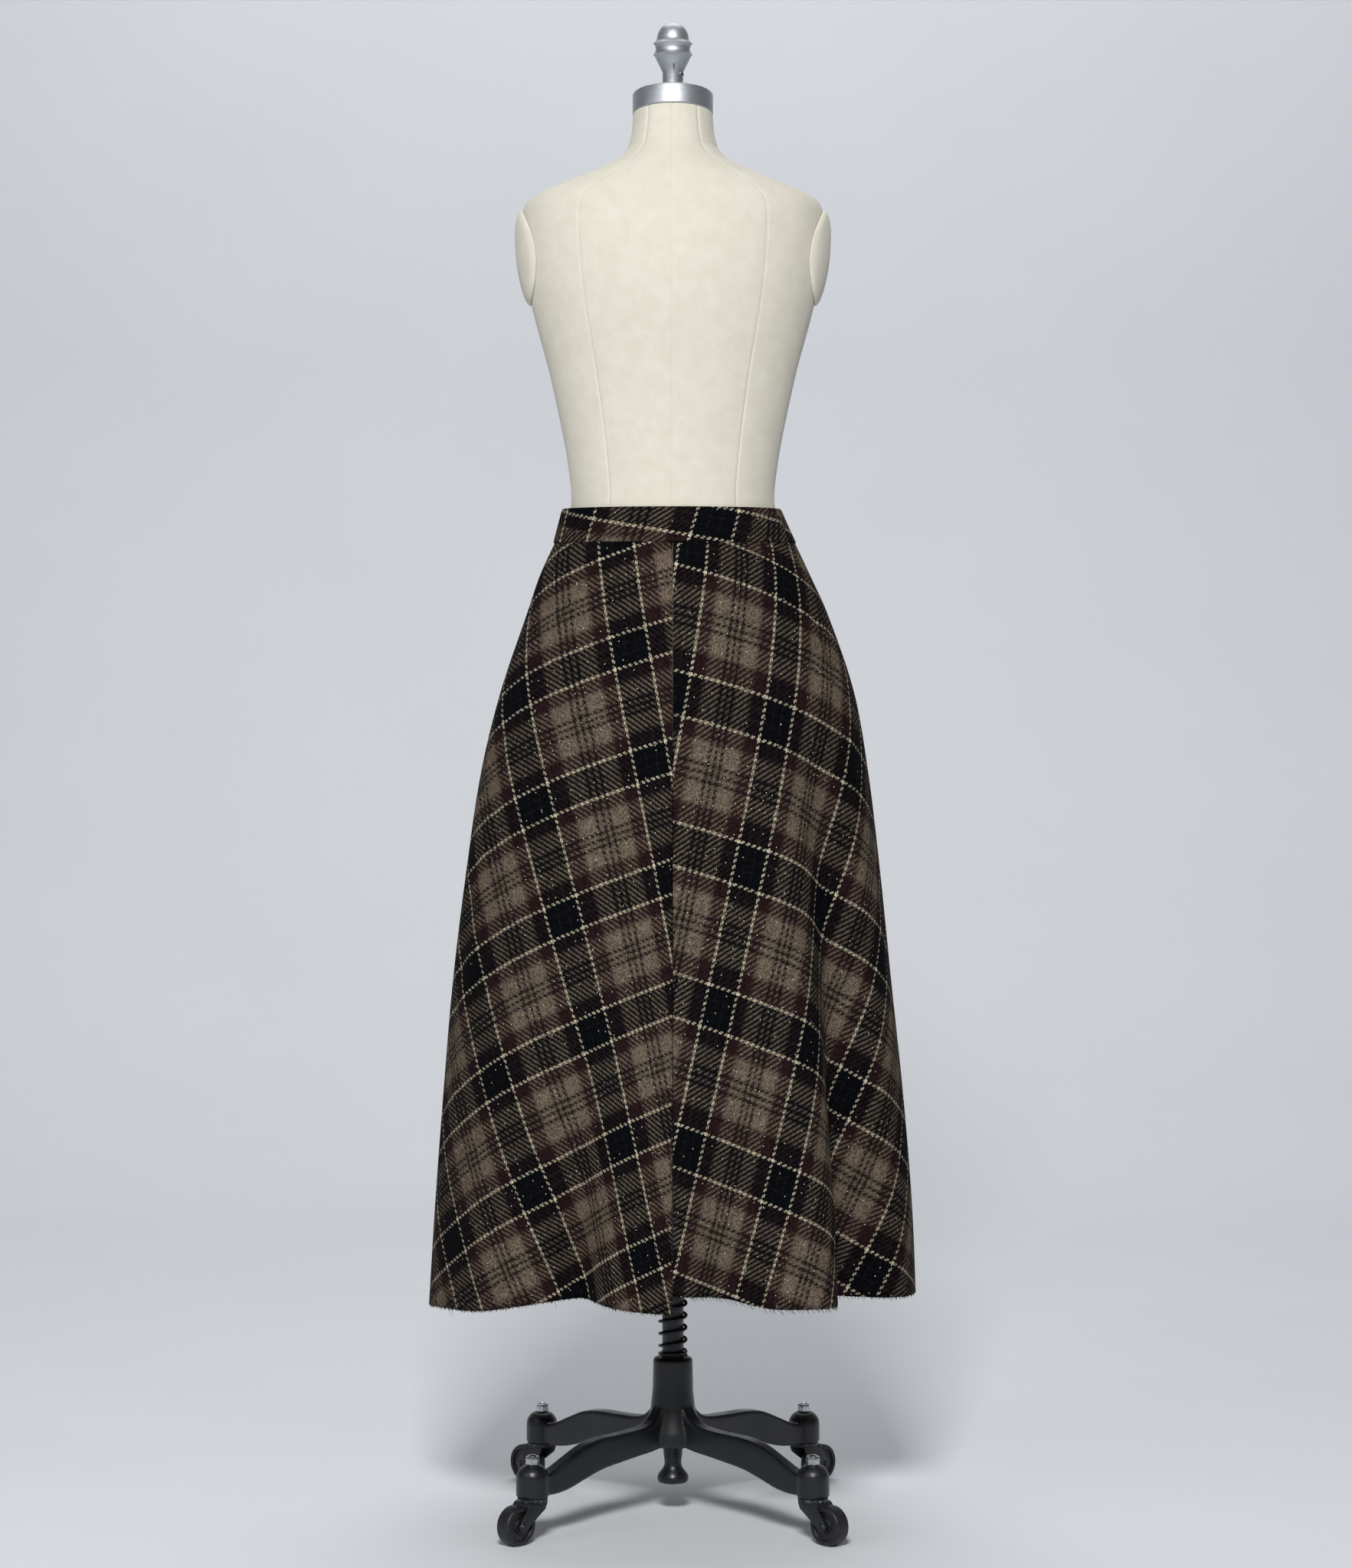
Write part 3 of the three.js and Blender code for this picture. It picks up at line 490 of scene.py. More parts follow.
# Caster wheels
# Hard black rubber, moulded in one with a dished web and a hub boss; the tread is rounded
# at both edges and scuffed grey where it runs on the floor.
half = WHEEL_WIDTH / 2
side_profile = [(3.6, half), (8, half), (9, half - 2.6), (15.4, half - 2.6), (16.6, half - 0.4)]
tread_profile = [(18.6, half), (20.6, half - 0.5), (21.6, half - 1.6), (WHEEL_RADIUS, half - 3.2)]
upper = side_profile + tread_profile
lower = [(radius, -height) for radius, height in reversed(upper)]
wheel = turned("wheel", [*upper, *lower, upper[0]], 56)
wheel.data.transform(
    Matrix.Translation((AXLE_X * MM, 0, WHEEL_RADIUS * MM)) @ Matrix.Rotation(math.pi / 2, 4, "X")
)
rubber, tree, shader = new_material("hard_black_rubber")
place = add_node(tree, "ShaderNodeTexCoord").outputs["Object"]
scuffs = add_node(
    tree, "ShaderNodeTexNoise", inputs={"Vector": place, "Scale": 1 / (4 * MM), "Detail": 7.0, "Roughness": 0.7}
)
scuffed = add_node(
    tree,
    "ShaderNodeMapRange",
    {"interpolation_type": "SMOOTHSTEP"},
    {"Value": scuffs.outputs["Fac"], "From Min": 0.45, "From Max": 0.75},
)
rubber_colour = add_node(
    tree,
    "ShaderNodeMix",
    {"data_type": "RGBA"},
    {"Factor": scuffed.outputs[0], "A": linear("101113"), "B": linear("26282a")},
)
tree.links.new(rubber_colour.outputs["Result"], shader.inputs["Base Color"])
rubber_bump = add_node(
    tree, "ShaderNodeBump", inputs={"Height": scuffs.outputs["Fac"], "Strength": 0.2, "Distance": 0.2 * MM}
)
tree.links.new(rubber_bump.outputs[0], shader.inputs["Normal"])
shader.inputs["Roughness"].default_value = 0.5
for k, corner in enumerate(CORNERS):
    piece = turned_copy(wheel, f"wheel_{corner}", LEG_TURN + k * math.pi / 2)
    shade(piece, 30)
    fit(piece, rubber, f"wheel_{corner}", "black_wheel", f"caster_wheel_{corner}")
bpy.data.objects.remove(wheel)

# Pole and its foot
# A drawn steel tube slides in the hub and ends in a flange that is screwed under the form.
# A cast bell foot is pinned in its lower end, with a rack of teeth down the neck.
POLE_RADIUS, POLE_WALL = 12.3, 2
pole_low, pole_high = (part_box("pole")[end].z / MM for end in (0, 1))
FLANGE_RADIUS, FLANGE_THICKNESS = 45, 6
bore = POLE_RADIUS - POLE_WALL
tube = turned(
    "pole_tube",
    [
        (bore, pole_low),
        (POLE_RADIUS, pole_low),
        (POLE_RADIUS, pole_high - FLANGE_THICKNESS),
        (FLANGE_RADIUS, pole_high - FLANGE_THICKNESS),
        (FLANGE_RADIUS, pole_high),
        (bore, pole_high),
        (bore, pole_low),
    ],
)
round_edges(tube, 0.6, 2)
fit(tube, painted_steel, "pole", "black_steel", "pole")

RACK_TEETH, RACK_LOW, RACK_HIGH, RACK_TURN = 9, 57, 79, 20
foot = turned(
    "bell_foot",
    [
        (0, 34),
        (13, 34),
        (15.6, 34.7),
        (17.3, 36.6),
        (18, 39.3),
        (17.5, 42.3),
        (15.8, 45.6),
        (13.2, 48.8),
        (11.3, 51.2),
        (10, 54.2),
        (9.6, 58),
        (10.3, 64),
        (11.2, 72),
        (12, 79),
        (12.2, 84),
        (0, 84),
    ],
)
shade(foot)
teeth = []
for i in range(RACK_TEETH):
    height = RACK_LOW + (RACK_HIGH - RACK_LOW) * i / (RACK_TEETH - 1)
    reach = 9.6 + 2.4 * (height - RACK_LOW) / (RACK_HIGH - RACK_LOW)
    bpy.ops.object.select_all(action="DESELECT")
    bpy.ops.mesh.primitive_cube_add(size=MM, location=(0, -reach * MM, height * MM))
    tooth = bpy.context.object
    tooth.scale = (5.5, 2.2, 1.5)
    bpy.ops.object.transform_apply(location=True, rotation=True, scale=True)
    round_edges(tooth, 0.5, 2)
    tooth.data.transform(Matrix.Rotation(math.radians(RACK_TURN), 4, "Z"))
    teeth.append(tooth)
foot = join([foot, *teeth], "bell_foot")
shade(foot)
fit(foot, cast_enamel, "pole", "black_iron", "pole_foot")

# Spring
# Round steel wire wound over the pole with a close turn at each end; it stands on the hub
# and carries the collar. Oil-black and glossy.
SPRING_WIRE, SPRING_RADIUS, SPRING_PITCH, SPRING_TURNS = 1.9, 15.2, 14, 6
TURN_POINTS = 28
spring_foot = HUB_TOP + 0.3 + SPRING_WIRE
close_pitch = 2.2 * SPRING_WIRE
turn = np.linspace(0, SPRING_TURNS + 2, (SPRING_TURNS + 2) * TURN_POINTS + 1)
climb = close_pitch * (np.minimum(turn, 1) + np.maximum(turn - 1 - SPRING_TURNS, 0))
climb = climb + SPRING_PITCH * np.clip(turn - 1, 0, SPRING_TURNS)
bpy.ops.object.select_all(action="DESELECT")
wire = bpy.data.curves.new("pole_coil", "CURVE")
wire.dimensions = "3D"
wire.bevel_depth = SPRING_WIRE * MM
wire.bevel_resolution = 4
wire.use_fill_caps = True
line = wire.splines.new("POLY")
line.points.add(len(turn) - 1)
for point, t, height in zip(line.points, turn, climb):
    angle = 2 * math.pi * t
    point.co = (
        SPRING_RADIUS * math.cos(angle) * MM,
        SPRING_RADIUS * math.sin(angle) * MM,
        (spring_foot + height) * MM,
        1,
    )
coil = bpy.data.objects.new("pole_coil", wire)
bpy.context.collection.objects.link(coil)
coil.select_set(True)
bpy.context.view_layer.objects.active = coil
bpy.ops.object.convert(target="MESH")
coil = bpy.context.object
bpy.ops.object.shade_smooth()
spring_steel = black_enamel("oil_black_spring_steel", "0b0c0d", 0.2, 0.0)
fit(coil, spring_steel, "base", "black_steel", "pole_spring")

# Collar
# A turned steel ring, clamped on the pole by a set screw, that rests on the spring.
collar_low, collar_high = (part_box("spring_collar")[end].z / MM for end in (0, 1))
collar = turned(
    "collar_ring",
    [
        (12.6, collar_low),
        (18.5, collar_low),
        (18.5, collar_high),
        (12.6, collar_high),
        (12.6, collar_low),
    ],
)
round_edges(collar, 0.8, 3)
fit(collar, painted_steel, "pole", "black_steel", "spring_collar")

# Form
# A papier-mache torso covered in tight cream linen, sewn in panels that meet in flat seams
# at the centres, the sides, over the bust and shoulder blades, and round the neck.
FORM_ROWS = [  # height, half width, back, front in mm, slope
    (885, 158, 116, 106, 0),
    (893, 164, 122, 110, 0),
    (945, 169, 127, 114, 0),
    (1033, 157, 119, 110, 0),
    (1077, 144.5, 109, 104, 0),
    (1120, 130.6, 99.4, 97.6, 0),
    (1150, 118, 90, 90.5, 0),
    (1170, 116, 86, 88, 0),
    (1205, 120, 85.5, 92, 0),
    (1240, 126, 87, 98, 0),
    (1309, 141, 95, 114, 0),
    (1344, 150.5, 101, 125, 0),
    (1380, 160, 107, 132, 0),
    (1415, 167, 110, 127, 0),
    (1450, 171, 109, 115, 0),
    (1484, 172, 103, 101, 0),
    (1503, 166, 96, 90, 0),
    (1514, 148, 90, 84, 0.01),
    (1526, 117, 82, 77, 0.03),
    (1540, 81, 70, 66, 0.06),
    (1554, 58, 57, 56, 0.1),
    (1573, 48.5, 50, 49, 0.15),
    (1600.7, 45.4, 45.4, 45.4, 0.19),
]
FORM_SEAMS = (0, 38, 90, 140, 180, 220, 270, 322)  # degrees round from the centre back
NECK_SEAM = 1562
SEAM_DEPTH, SEAM_WIDTH = 0.9, 1.3
FORM_COLUMNS, FORM_STEP = 120, 7


def oval(angle, left, right, back, front):
    """Points and outward directions on an oval, from angles in degrees that grow from the back to +X."""
    turn = np.radians(angle)
    across = np.where(np.sin(turn) >= 0, right, left)
    along = np.where(np.cos(turn) >= 0, back, front)
    point = np.stack([across * np.sin(turn), -along * np.cos(turn)], -1)
    out = np.stack([np.sin(turn) / across, -np.cos(turn) / along], -1)
    return point, out / np.linalg.norm(out, axis=-1, keepdims=True)


def form_points(angle, height, distance):
    """Points in millimetres of the form's skin, moved out by a distance."""
    half, back, front, slope = (smooth_curve(FORM_ROWS, column, height) for column in (1, 2, 3, 4))
    point, out = oval(angle, half, half, back, front)
    point = point + out * distance[..., None]
    return np.concatenate([point, (height - slope * point[..., 1])[..., None]], -1)


def grid_faces(rows, columns, closed):
    """Quads of a grid of points, numbered row by row."""
    wrap = columns if closed else columns - 1
    faces = []
    for r in range(rows - 1):
        for c in range(wrap):
            d = (c + 1) % columns
            faces.append((r * columns + c, r * columns + d, (r + 1) * columns + d, (r + 1) * columns + c))
    return faces


seam_sides = [seam + side for seam in FORM_SEAMS for side in (-1.4, -0.7, 0, 0.7, 1.4)]
plain_sides = [360 * c / FORM_COLUMNS for c in range(FORM_COLUMNS)]
angles = np.array(sorted({round(a % 360, 3) for a in seam_sides + plain_sides}))
heights = np.arange(FORM_ROWS[0][0], FORM_ROWS[-1][0], FORM_STEP)
ring_seam = [NECK_SEAM + d for d in (-3, -1.5, 0, 1.5, 3)]
heights = np.array(sorted({round(float(h), 2) for h in [*heights, *ring_seam, FORM_ROWS[-1][0]]}))
angle_grid, height_grid = np.meshgrid(angles, heights)
radius_grid = smooth_curve(FORM_ROWS, 1, height_grid)
dent = np.zeros_like(angle_grid)
for seam in FORM_SEAMS:
    away = np.radians((angle_grid - seam + 180) % 360 - 180) * radius_grid
    dent = np.minimum(dent, -SEAM_DEPTH * np.exp(-((away / SEAM_WIDTH) ** 2)))
dent = np.minimum(dent, -SEAM_DEPTH * np.exp(-(((height_grid - NECK_SEAM) / SEAM_WIDTH) ** 2)))
skin = form_points(angle_grid, height_grid, dent).reshape(-1, 3)
columns = len(angles)
faces = grid_faces(len(heights), columns, True)
faces.append(tuple(reversed(range(columns))))
faces.append(tuple(range((len(heights) - 1) * columns, len(heights) * columns)))
torso = start_piece("linen_torso", skin * MM, faces=faces)
shade(torso, 50)

linen, tree, shader = new_material("cream_linen_canvas")
THREAD = 1.3 * MM  # real threads lie 0.5 mm apart: drawn coarser so that they show
place = add_node(tree, "ShaderNodeTexCoord").outputs["Object"]
warp = add_node(
    tree,
    "ShaderNodeTexWave",
    {"wave_type": "BANDS", "bands_direction": "X"},
    {"Vector": place, "Scale": 2 * math.pi / 20 / THREAD, "Distortion": 1.5, "Detail": 2.0, "Detail Scale": 2.0},
)
weft = add_node(
    tree,
    "ShaderNodeTexWave",
    {"wave_type": "BANDS", "bands_direction": "Z"},
    {"Vector": place, "Scale": 2 * math.pi / 20 / THREAD, "Distortion": 1.5, "Detail": 2.0, "Detail Scale": 2.0},
)
slubs = add_node(
    tree,
    "ShaderNodeTexNoise",
    inputs={"Vector": place, "Scale": 1 / (18 * MM), "Detail": 6.0, "Roughness": 0.6},
)
weave = add_node(
    tree, "ShaderNodeMath", {"operation": "MULTIPLY"}, {0: warp.outputs["Fac"], 1: weft.outputs["Fac"]}
)
tone = add_node(
    tree,
    "ShaderNodeMix",
    {"data_type": "RGBA"},
    {"Factor": slubs.outputs["Fac"], "A": linear("cfc9b6"), "B": linear("e4e0d2")},
)
linen_colour = add_node(
    tree,
    "ShaderNodeMix",
    {"data_type": "RGBA", "blend_type": "MULTIPLY"},
    {"Factor": 0.12, "A": tone.outputs["Result"], "B": weave.outputs[0]},
)
linen_bump = add_node(
    tree, "ShaderNodeBump", inputs={"Height": weave.outputs[0], "Strength": 0.15, "Distance": 0.2 * MM}
)
tree.links.new(linen_colour.outputs["Result"], shader.inputs["Base Color"])
tree.links.new(linen_bump.outputs[0], shader.inputs["Normal"])
shader.inputs["Roughness"].default_value = 0.85
shader.inputs["Sheen Weight"].default_value = 0.15
fit(torso, linen, "form", "form_canvas", "form_torso")

# Arm plates
# Padded oval caps close the armholes, covered in the same linen and sewn on round the rim.
PLATE_HEIGHT, PLATE_HALF, PLATE_ANGLE = 1439, 54, 25
PLATE_RIM, PLATE_THICKNESS, PLATE_CLEARANCE = 2, 8, 0.95
PLATE_RINGS, PLATE_SIDES = 14, 64


def arm_plate(name, side):
    """A disc of rings on the form's side, swollen in the middle, with its rim turned in to a flat back."""
    share = np.linspace(0, 1, PLATE_RINGS + 1)[1:, None]
    around = np.linspace(0, 2 * math.pi, PLATE_SIDES, endpoint=False)[None, :]
    angle = side * (90 + PLATE_ANGLE * share * np.cos(around))
    height = PLATE_HEIGHT + PLATE_HALF * share * np.sin(around)
    swell = PLATE_RIM + (PLATE_THICKNESS - PLATE_RIM) * np.sqrt(1 - share**2) + 0 * around
    outer = form_points(angle, height, PLATE_CLEARANCE + swell).reshape(-1, 3)
    inner = form_points(angle[-1:], height[-1:], PLATE_CLEARANCE + 0 * swell[-1:]).reshape(-1, 3)
    middle = [
        form_points(np.array([side * 90.0]), np.array([float(PLATE_HEIGHT)]), np.array([PLATE_CLEARANCE + lift]))[0]
        for lift in (PLATE_THICKNESS, 0)
    ]
    points = np.concatenate([outer, inner, middle])
    faces = grid_faces(PLATE_RINGS + 1, PLATE_SIDES, True)
    front, back = len(points) - 2, len(points) - 1
    last = PLATE_RINGS * PLATE_SIDES
    for s in range(PLATE_SIDES):
        t = (s + 1) % PLATE_SIDES
        faces.append((front, t, s))
        faces.append((back, last + s, last + t))
    piece = start_piece(name, points * MM, faces=faces)
    bpy.ops.object.mode_set(mode="EDIT")
    bpy.ops.mesh.select_all(action="SELECT")
    bpy.ops.mesh.normals_make_consistent(inside=False)
    bpy.ops.object.mode_set(mode="OBJECT")
    shade(piece, 60)
    return piece


for name, side in (("left", -1), ("right", 1)):
    plate = arm_plate(f"linen_plate_{name}", side)
    fit(plate, linen, "form", "form_canvas", f"arm_plate_{name}")

# Neck cap
# A spun aluminium lid with a brushed side, seated on the neck, which leans towards the front.
NECK_SLOPE, NECK_HEIGHT, CAP_RADIUS, CAP_HEIGHT = 0.19, 1600.7, 45.8, 24.5


def brushed_aluminium(name, stretch):
    """Satin aluminium with fine lines round it, left by the cloth of the lathe."""
    line_size = 1.1 * MM
    material, tree, shader = new_material(name)
    place = add_node(tree, "ShaderNodeTexCoord").outputs["Object"]
    mapped = add_node(tree, "ShaderNodeMapping", inputs={"Vector": place, "Scale": stretch})
    lines = add_node(
        tree,
        "ShaderNodeTexNoise",
        inputs={"Vector": mapped.outputs[0], "Scale": 1 / line_size, "Detail": 4.0, "Roughness": 0.6},
    )
    tone = add_node(
        tree,
        "ShaderNodeMix",
        {"data_type": "RGBA"},
        {"Factor": lines.outputs["Fac"], "A": linear("a9adb2"), "B": linear("ced2d6")},
    )
    rough = add_node(
        tree, "ShaderNodeMapRange", inputs={"Value": lines.outputs["Fac"], "To Min": 0.42, "To Max": 0.6}
    )
    bump = add_node(
        tree, "ShaderNodeBump", inputs={"Height": lines.outputs["Fac"], "Strength": 0.12, "Distance": 0.1 * MM}
    )
    tree.links.new(tone.outputs["Result"], shader.inputs["Base Color"])
    tree.links.new(rough.outputs[0], shader.inputs["Roughness"])
    tree.links.new(bump.outputs[0], shader.inputs["Normal"])
    shader.inputs["Metallic"].default_value = 1.0
    return material


cap = turned(
    "neck_lid",
    [(0, 0), (CAP_RADIUS, 0), (CAP_RADIUS, CAP_HEIGHT), (0, CAP_HEIGHT)],
    96,
)
round_edges(cap, 2.2, 4, 50)
cap.rotation_euler = (-math.atan(NECK_SLOPE), 0, 0)
cap.location = (0, 0, (NECK_HEIGHT + 0.3) * MM)
bpy.ops.object.transform_apply(location=True, rotation=True, scale=True)
aluminium = brushed_aluminium("brushed_aluminium", (0.12, 0.12, 1))
fit(cap, aluminium, "form", "brushed_aluminium", "neck_cap")

# Finial
# Turned from aluminium bar and bored from below: an acorn over two sharp rings and a bowl.
# Its stem is slit up the near side, and a small screw beside the slit clamps it.
FINIAL_TOP, FINIAL_STEM = 1705.6, 11.7
FINIAL_ROWS = [  # depth below the top, radius in mm
    (56.4, 11.7),
    (50, 14.6),
    (43.6, 17.9),
    (38.4, 20.2),
    (36.1, 22.3),
    (33.6, 20.3),
    (29.8, 19.4),
    (26, 20.3),
    (23.4, 22.3),
    (21, 19.6),
    (19.1, 18.4),
    (16, 17.95),
    (13, 17.3),
    (10, 16.1),
    (7, 14.4),
    (4.4, 12),
    (2.4, 9.4),
    (1, 6.2),
    (0.2, 3),
]
SLIT_WIDTH, SLIT_TURN, SLIT_HIGH = 1.3, 5, 1657.5
finial_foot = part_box("finial")[0].z / MM
profile = [(0, finial_foot), (FINIAL_STEM, finial_foot)]
profile += [(radius, FINIAL_TOP - depth) for depth, radius in FINIAL_ROWS]
acorn = turned("acorn_finial", [*profile, (0, FINIAL_TOP)], 80)
cap_top = NECK_HEIGHT + 0.6 + CAP_HEIGHT * math.hypot(1, NECK_SLOPE)
bpy.ops.object.mode_set(mode="EDIT")
bpy.ops.mesh.select_all(action="SELECT")
bpy.ops.mesh.bisect(
    plane_co=(0, 0, cap_top * MM), plane_no=(0, NECK_SLOPE, 1), use_fill=True, clear_inner=True
)
bpy.ops.object.mode_set(mode="OBJECT")
bpy.ops.object.select_all(action="DESELECT")
bpy.ops.mesh.primitive_cube_add(size=MM, location=(0, -FINIAL_STEM * MM, (SLIT_HIGH - 25) * MM))
slit = bpy.context.object
slit.scale = (SLIT_WIDTH, 12, 50)
bpy.ops.object.transform_apply(location=True, rotation=True, scale=True)
slit.data.transform(Matrix.Rotation(math.radians(SLIT_TURN), 4, "Z"))
apply_modifier(acorn, "BOOLEAN", operation="DIFFERENCE", object=slit, solver="EXACT")
bpy.data.objects.remove(slit)
shade(acorn, 28)
fit(acorn, aluminium, "form", "brushed_aluminium", "finial")

SCREW_RADIUS, SCREW_LENGTH, SCREW_TURN = 2.7, 3.2, 45
screw_height = (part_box("finial_screw")[0].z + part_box("finial_screw")[1].z) / 2
bpy.ops.object.select_all(action="DESELECT")
bpy.ops.mesh.primitive_cylinder_add(
    vertices=24,
    radius=SCREW_RADIUS * MM,
    depth=SCREW_LENGTH * MM,
    location=(0, 0, 0),
    rotation=(math.pi / 2, 0, 0),
)
screw = bpy.context.object
bpy.ops.object.transform_apply(location=True, rotation=True, scale=True)
round_edges(screw, 0.5, 2)
bpy.ops.object.select_all(action="DESELECT")
bpy.ops.mesh.primitive_cube_add(size=MM, location=(0, -SCREW_LENGTH / 2 * MM, 0))
groove = bpy.context.object
groove.scale = (0.8, 1.6, 8)
bpy.ops.object.transform_apply(location=True, rotation=True, scale=True)
apply_modifier(screw, "BOOLEAN", operation="DIFFERENCE", object=groove, solver="EXACT")
bpy.data.objects.remove(groove)
screw_reach = FINIAL_STEM + 0.3 + SCREW_LENGTH / 2
screw.data.transform(
    Matrix.Rotation(math.radians(SCREW_TURN), 4, "Z")
    @ Matrix.Translation((0, -screw_reach * MM, screw_height))
    @ Matrix.Rotation(math.radians(20), 4, "Y")
)
screw.name = "clamp_screw"
shade(screw)
fit(screw, chrome, "form", "chrome", "finial_screw")

# Skirt
# One sector of heavy wool twill, cut as part of a circle and sewn up the middle of this side.
# It is smooth over the hips and falls into soft uneven folds; the lower edge is left raw.
WAIST_SEAM, FOLD_DROP, CLOTH = 1113.5, 863, 2.2
SKIRT_ROWS = [  # drop below the waist seam, left, right, back, front in mm
    (0, 135.5, 140, 104, 102),
    (36, 152, 157, 116, 112),
    (80, 167, 177, 127, 120),
    (168, 197, 207, 144, 132),
    (256, 219, 223, 158, 146),
    (365, 235.5, 236.5, 176, 168),
    (497, 252, 250.5, 196, 190),
    (628, 263.5, 264.5, 211, 207),
    (760, 273.5, 275, 224, 222),
    (880, 281, 280, 233, 232),
]
SKIRT_FOLDS = [  # angle at the hem, depth, spread, drop where it starts, growth, drift
    (-47, 10, 12, 413, 1.3, 0),
    (-24, -36, 8, 443, 1.2, -2),
    (-3, 12, 9, 433, 1.3, 0),
    (13, -18, 8, 553, 1.3, 2),
    (34, 21, 9, 190, 0.9, 3),
    (53, -65, 9, 200, 0.9, 5),
    (112, -44, 10, 353, 1.3, 3),
    (133, 12, 9, 413, 1.3, 0),
    (156, -48, 10, 313, 1.3, 0),
    (180, 12, 10, 413, 1.3, 0),
    (205, -44, 10, 333, 1.3, 0),
    (228, 12, 9, 413, 1.3, 0),
    (249, -46, 10, 353, 1.3, -3),
]
SKIRT_HEM = [  # angle, height of the raw edge
    (0, 287),
    (12, 281),
    (22, 270),
    (32, 269),
    (44, 267),
    (60, 264),
    (90, 257),
    (135, 250),
    (180, 247),
    (225, 247),
    (270, 244),
    (295, 252),
    (312, 259),
    (328, 272),
    (336, 275),
    (347, 271),
    (360, 268),
]
SKIRT_CREASES = [  # angle, middle drop, half length, half width in degrees, depth, lean in degrees
    (-62, 300, 150, 4, -1.6, 6),
    (-35, 120, 70, 3, -1.0, -2),
    (-14, 420, 160, 3.5, -1.4, 3),
    (9, 300, 120, 3, 1.0, -2),
    (24, 150, 80, 2.5, -1.0, 2),
    (64, 95, 40, 2.2, -2.4, 1),
    (66, 250, 90, 4, 1.6, -3),
    (82, 420, 170, 4, -2.2, 3),
    (99, 200, 110, 3.5, 1.4, 2),
    (126, 130, 80, 3, -1.4, -2),
    (150, 240, 120, 3.5, 1.6, 3),
    (171, 110, 70, 3, -1.2, 2),
    (196, 280, 130, 3.5, 1.5, -3),
    (221, 150, 90, 3, -1.3, 2),
    (243, 320, 140, 4, 1.8, -2),
    (268, 160, 90, 3, -1.4, 3),
    (285, 480, 190, 4.5, -2.4, -4),
    (-25, 800, 230, 4, -9, 1),
]
SKIRT_COLUMNS, SKIRT_LINES = 300, 112
SEAM_TUCK, SEAM_SPREAD = 1.6, 3.2  # how deep the sewn seam sinks, and how far beside it

# The cut: one sector, with the threads at these angles to its first edge.
SECTOR_ANGLE = math.radians(62.45)
SECTOR_RADIUS = 0.756
WARP_TILT, WEFT_TILT = math.radians(13.96), math.radians(12.32)
WARP_START, WEFT_START = -0.0181, 0.0075  # where a dark stripe begins, from the seam's top
# How far the threads have slipped beside the seam, hanging on the bias: the parts that are even,
# grow with the length down, its square, the distance round, both, and the square round.
SLIP_REACH = 0.5
WARP_SLIP_RIGHT = (0.0070, -0.0337, 0.0449, 0.0342, -0.2063, -0.1736)
WEFT_SLIP_RIGHT = (0.0012, -0.0604, 0.0723, 0.0799, 0.1267, -0.0028)
WARP_SLIP_LEFT = (-0.0009, -0.0670, 0.0916, 0.2220, 0.4505, -0.9232)
WEFT_SLIP_LEFT = (0.0013, -0.0112, 0.0045, -0.0061, -0.2133, 0.0874)


def fold_offset(angle, drop):
    """How far all folds and creases together move the cloth out, in mm."""
    offset = np.zeros_like(angle)
    for place, depth, spread, start, power, drift in SKIRT_FOLDS:
        growth = np.maximum(0, (drop - start) / (FOLD_DROP - start)) ** power
        centre = place - drift * (1 - np.minimum(growth, 1))
        away = (angle - centre + 180) % 360 - 180
        offset += depth * growth * np.exp(-((away / spread) ** 2))
    return offset


def crease_offset(angle, drop):
    offset = np.zeros_like(angle)
    for place, middle, reach, width, depth, lean in SKIRT_CREASES:
        along = (drop - middle) / reach
        away = (angle - place - lean * along + 180) % 360 - 180
        offset += depth * np.exp(-((away / width) ** 2)) * np.exp(-(along**2))
    return offset


def skirt_points(angle, drop):
    """Points of the skirt's outside in metres."""
    left, right, back, front = (smooth_curve(SKIRT_ROWS, column, drop) for column in (1, 2, 3, 4))
    point, out = oval(angle, left, right, back, front)
    offset = fold_offset(angle, drop) + crease_offset(angle, drop)
    beside = np.radians(np.minimum(angle, 360 - angle)) * np.hypot(point[..., 0], point[..., 1])
    offset -= SEAM_TUCK * np.exp(-((beside / SEAM_SPREAD) ** 2))
    point = point + out * offset[..., None]
    return np.concatenate([point, (WAIST_SEAM - drop)[..., None]], -1) * MM


even = np.linspace(0, 360, SKIRT_COLUMNS + 1)
near_seam = [0.4, 0.8, 1.6, 2.0]
skirt_angles = np.array(sorted([0.06, *even[1:-1], *near_seam, *[360 - a for a in near_seam], 359.94]))
drop_shares = np.linspace(0, 1, SKIRT_LINES + 1)
angle_grid, share_grid = np.meshgrid(skirt_angles, drop_shares)
hem_drop = WAIST_SEAM - smooth_curve(SKIRT_HEM, 1, skirt_angles)
cloth = skirt_points(angle_grid, share_grid * hem_drop[None, :])
columns = len(skirt_angles)
skirt = start_piece("wool_skirt", cloth.reshape(-1, 3), faces=grid_faces(SKIRT_LINES + 1, columns, False))

# Where each point lay in the flat cut, counted along its warp and weft threads.
steps_round = np.linalg.norm(np.diff(cloth, axis=1), axis=-1)
arc = np.concatenate([np.zeros((SKIRT_LINES + 1, 1)), np.cumsum(steps_round, axis=1)], axis=1)
girth_share = arc / arc[:, -1:]
steps_down = np.linalg.norm(np.diff(cloth, axis=0), axis=-1)
path = np.concatenate([np.zeros((1, columns)), np.cumsum(steps_down, axis=0)], axis=0)
radius = SECTOR_RADIUS + path
sweep = SECTOR_ANGLE * girth_share
from_right = arc
from_left = arc[:, -1:] - arc


def slip(parts, beside):
    terms = (1, path, path**2, beside, beside * path, beside**2)
    return sum(part * term for part, term in zip(parts, terms)) * np.exp(-((beside / SLIP_REACH) ** 4))


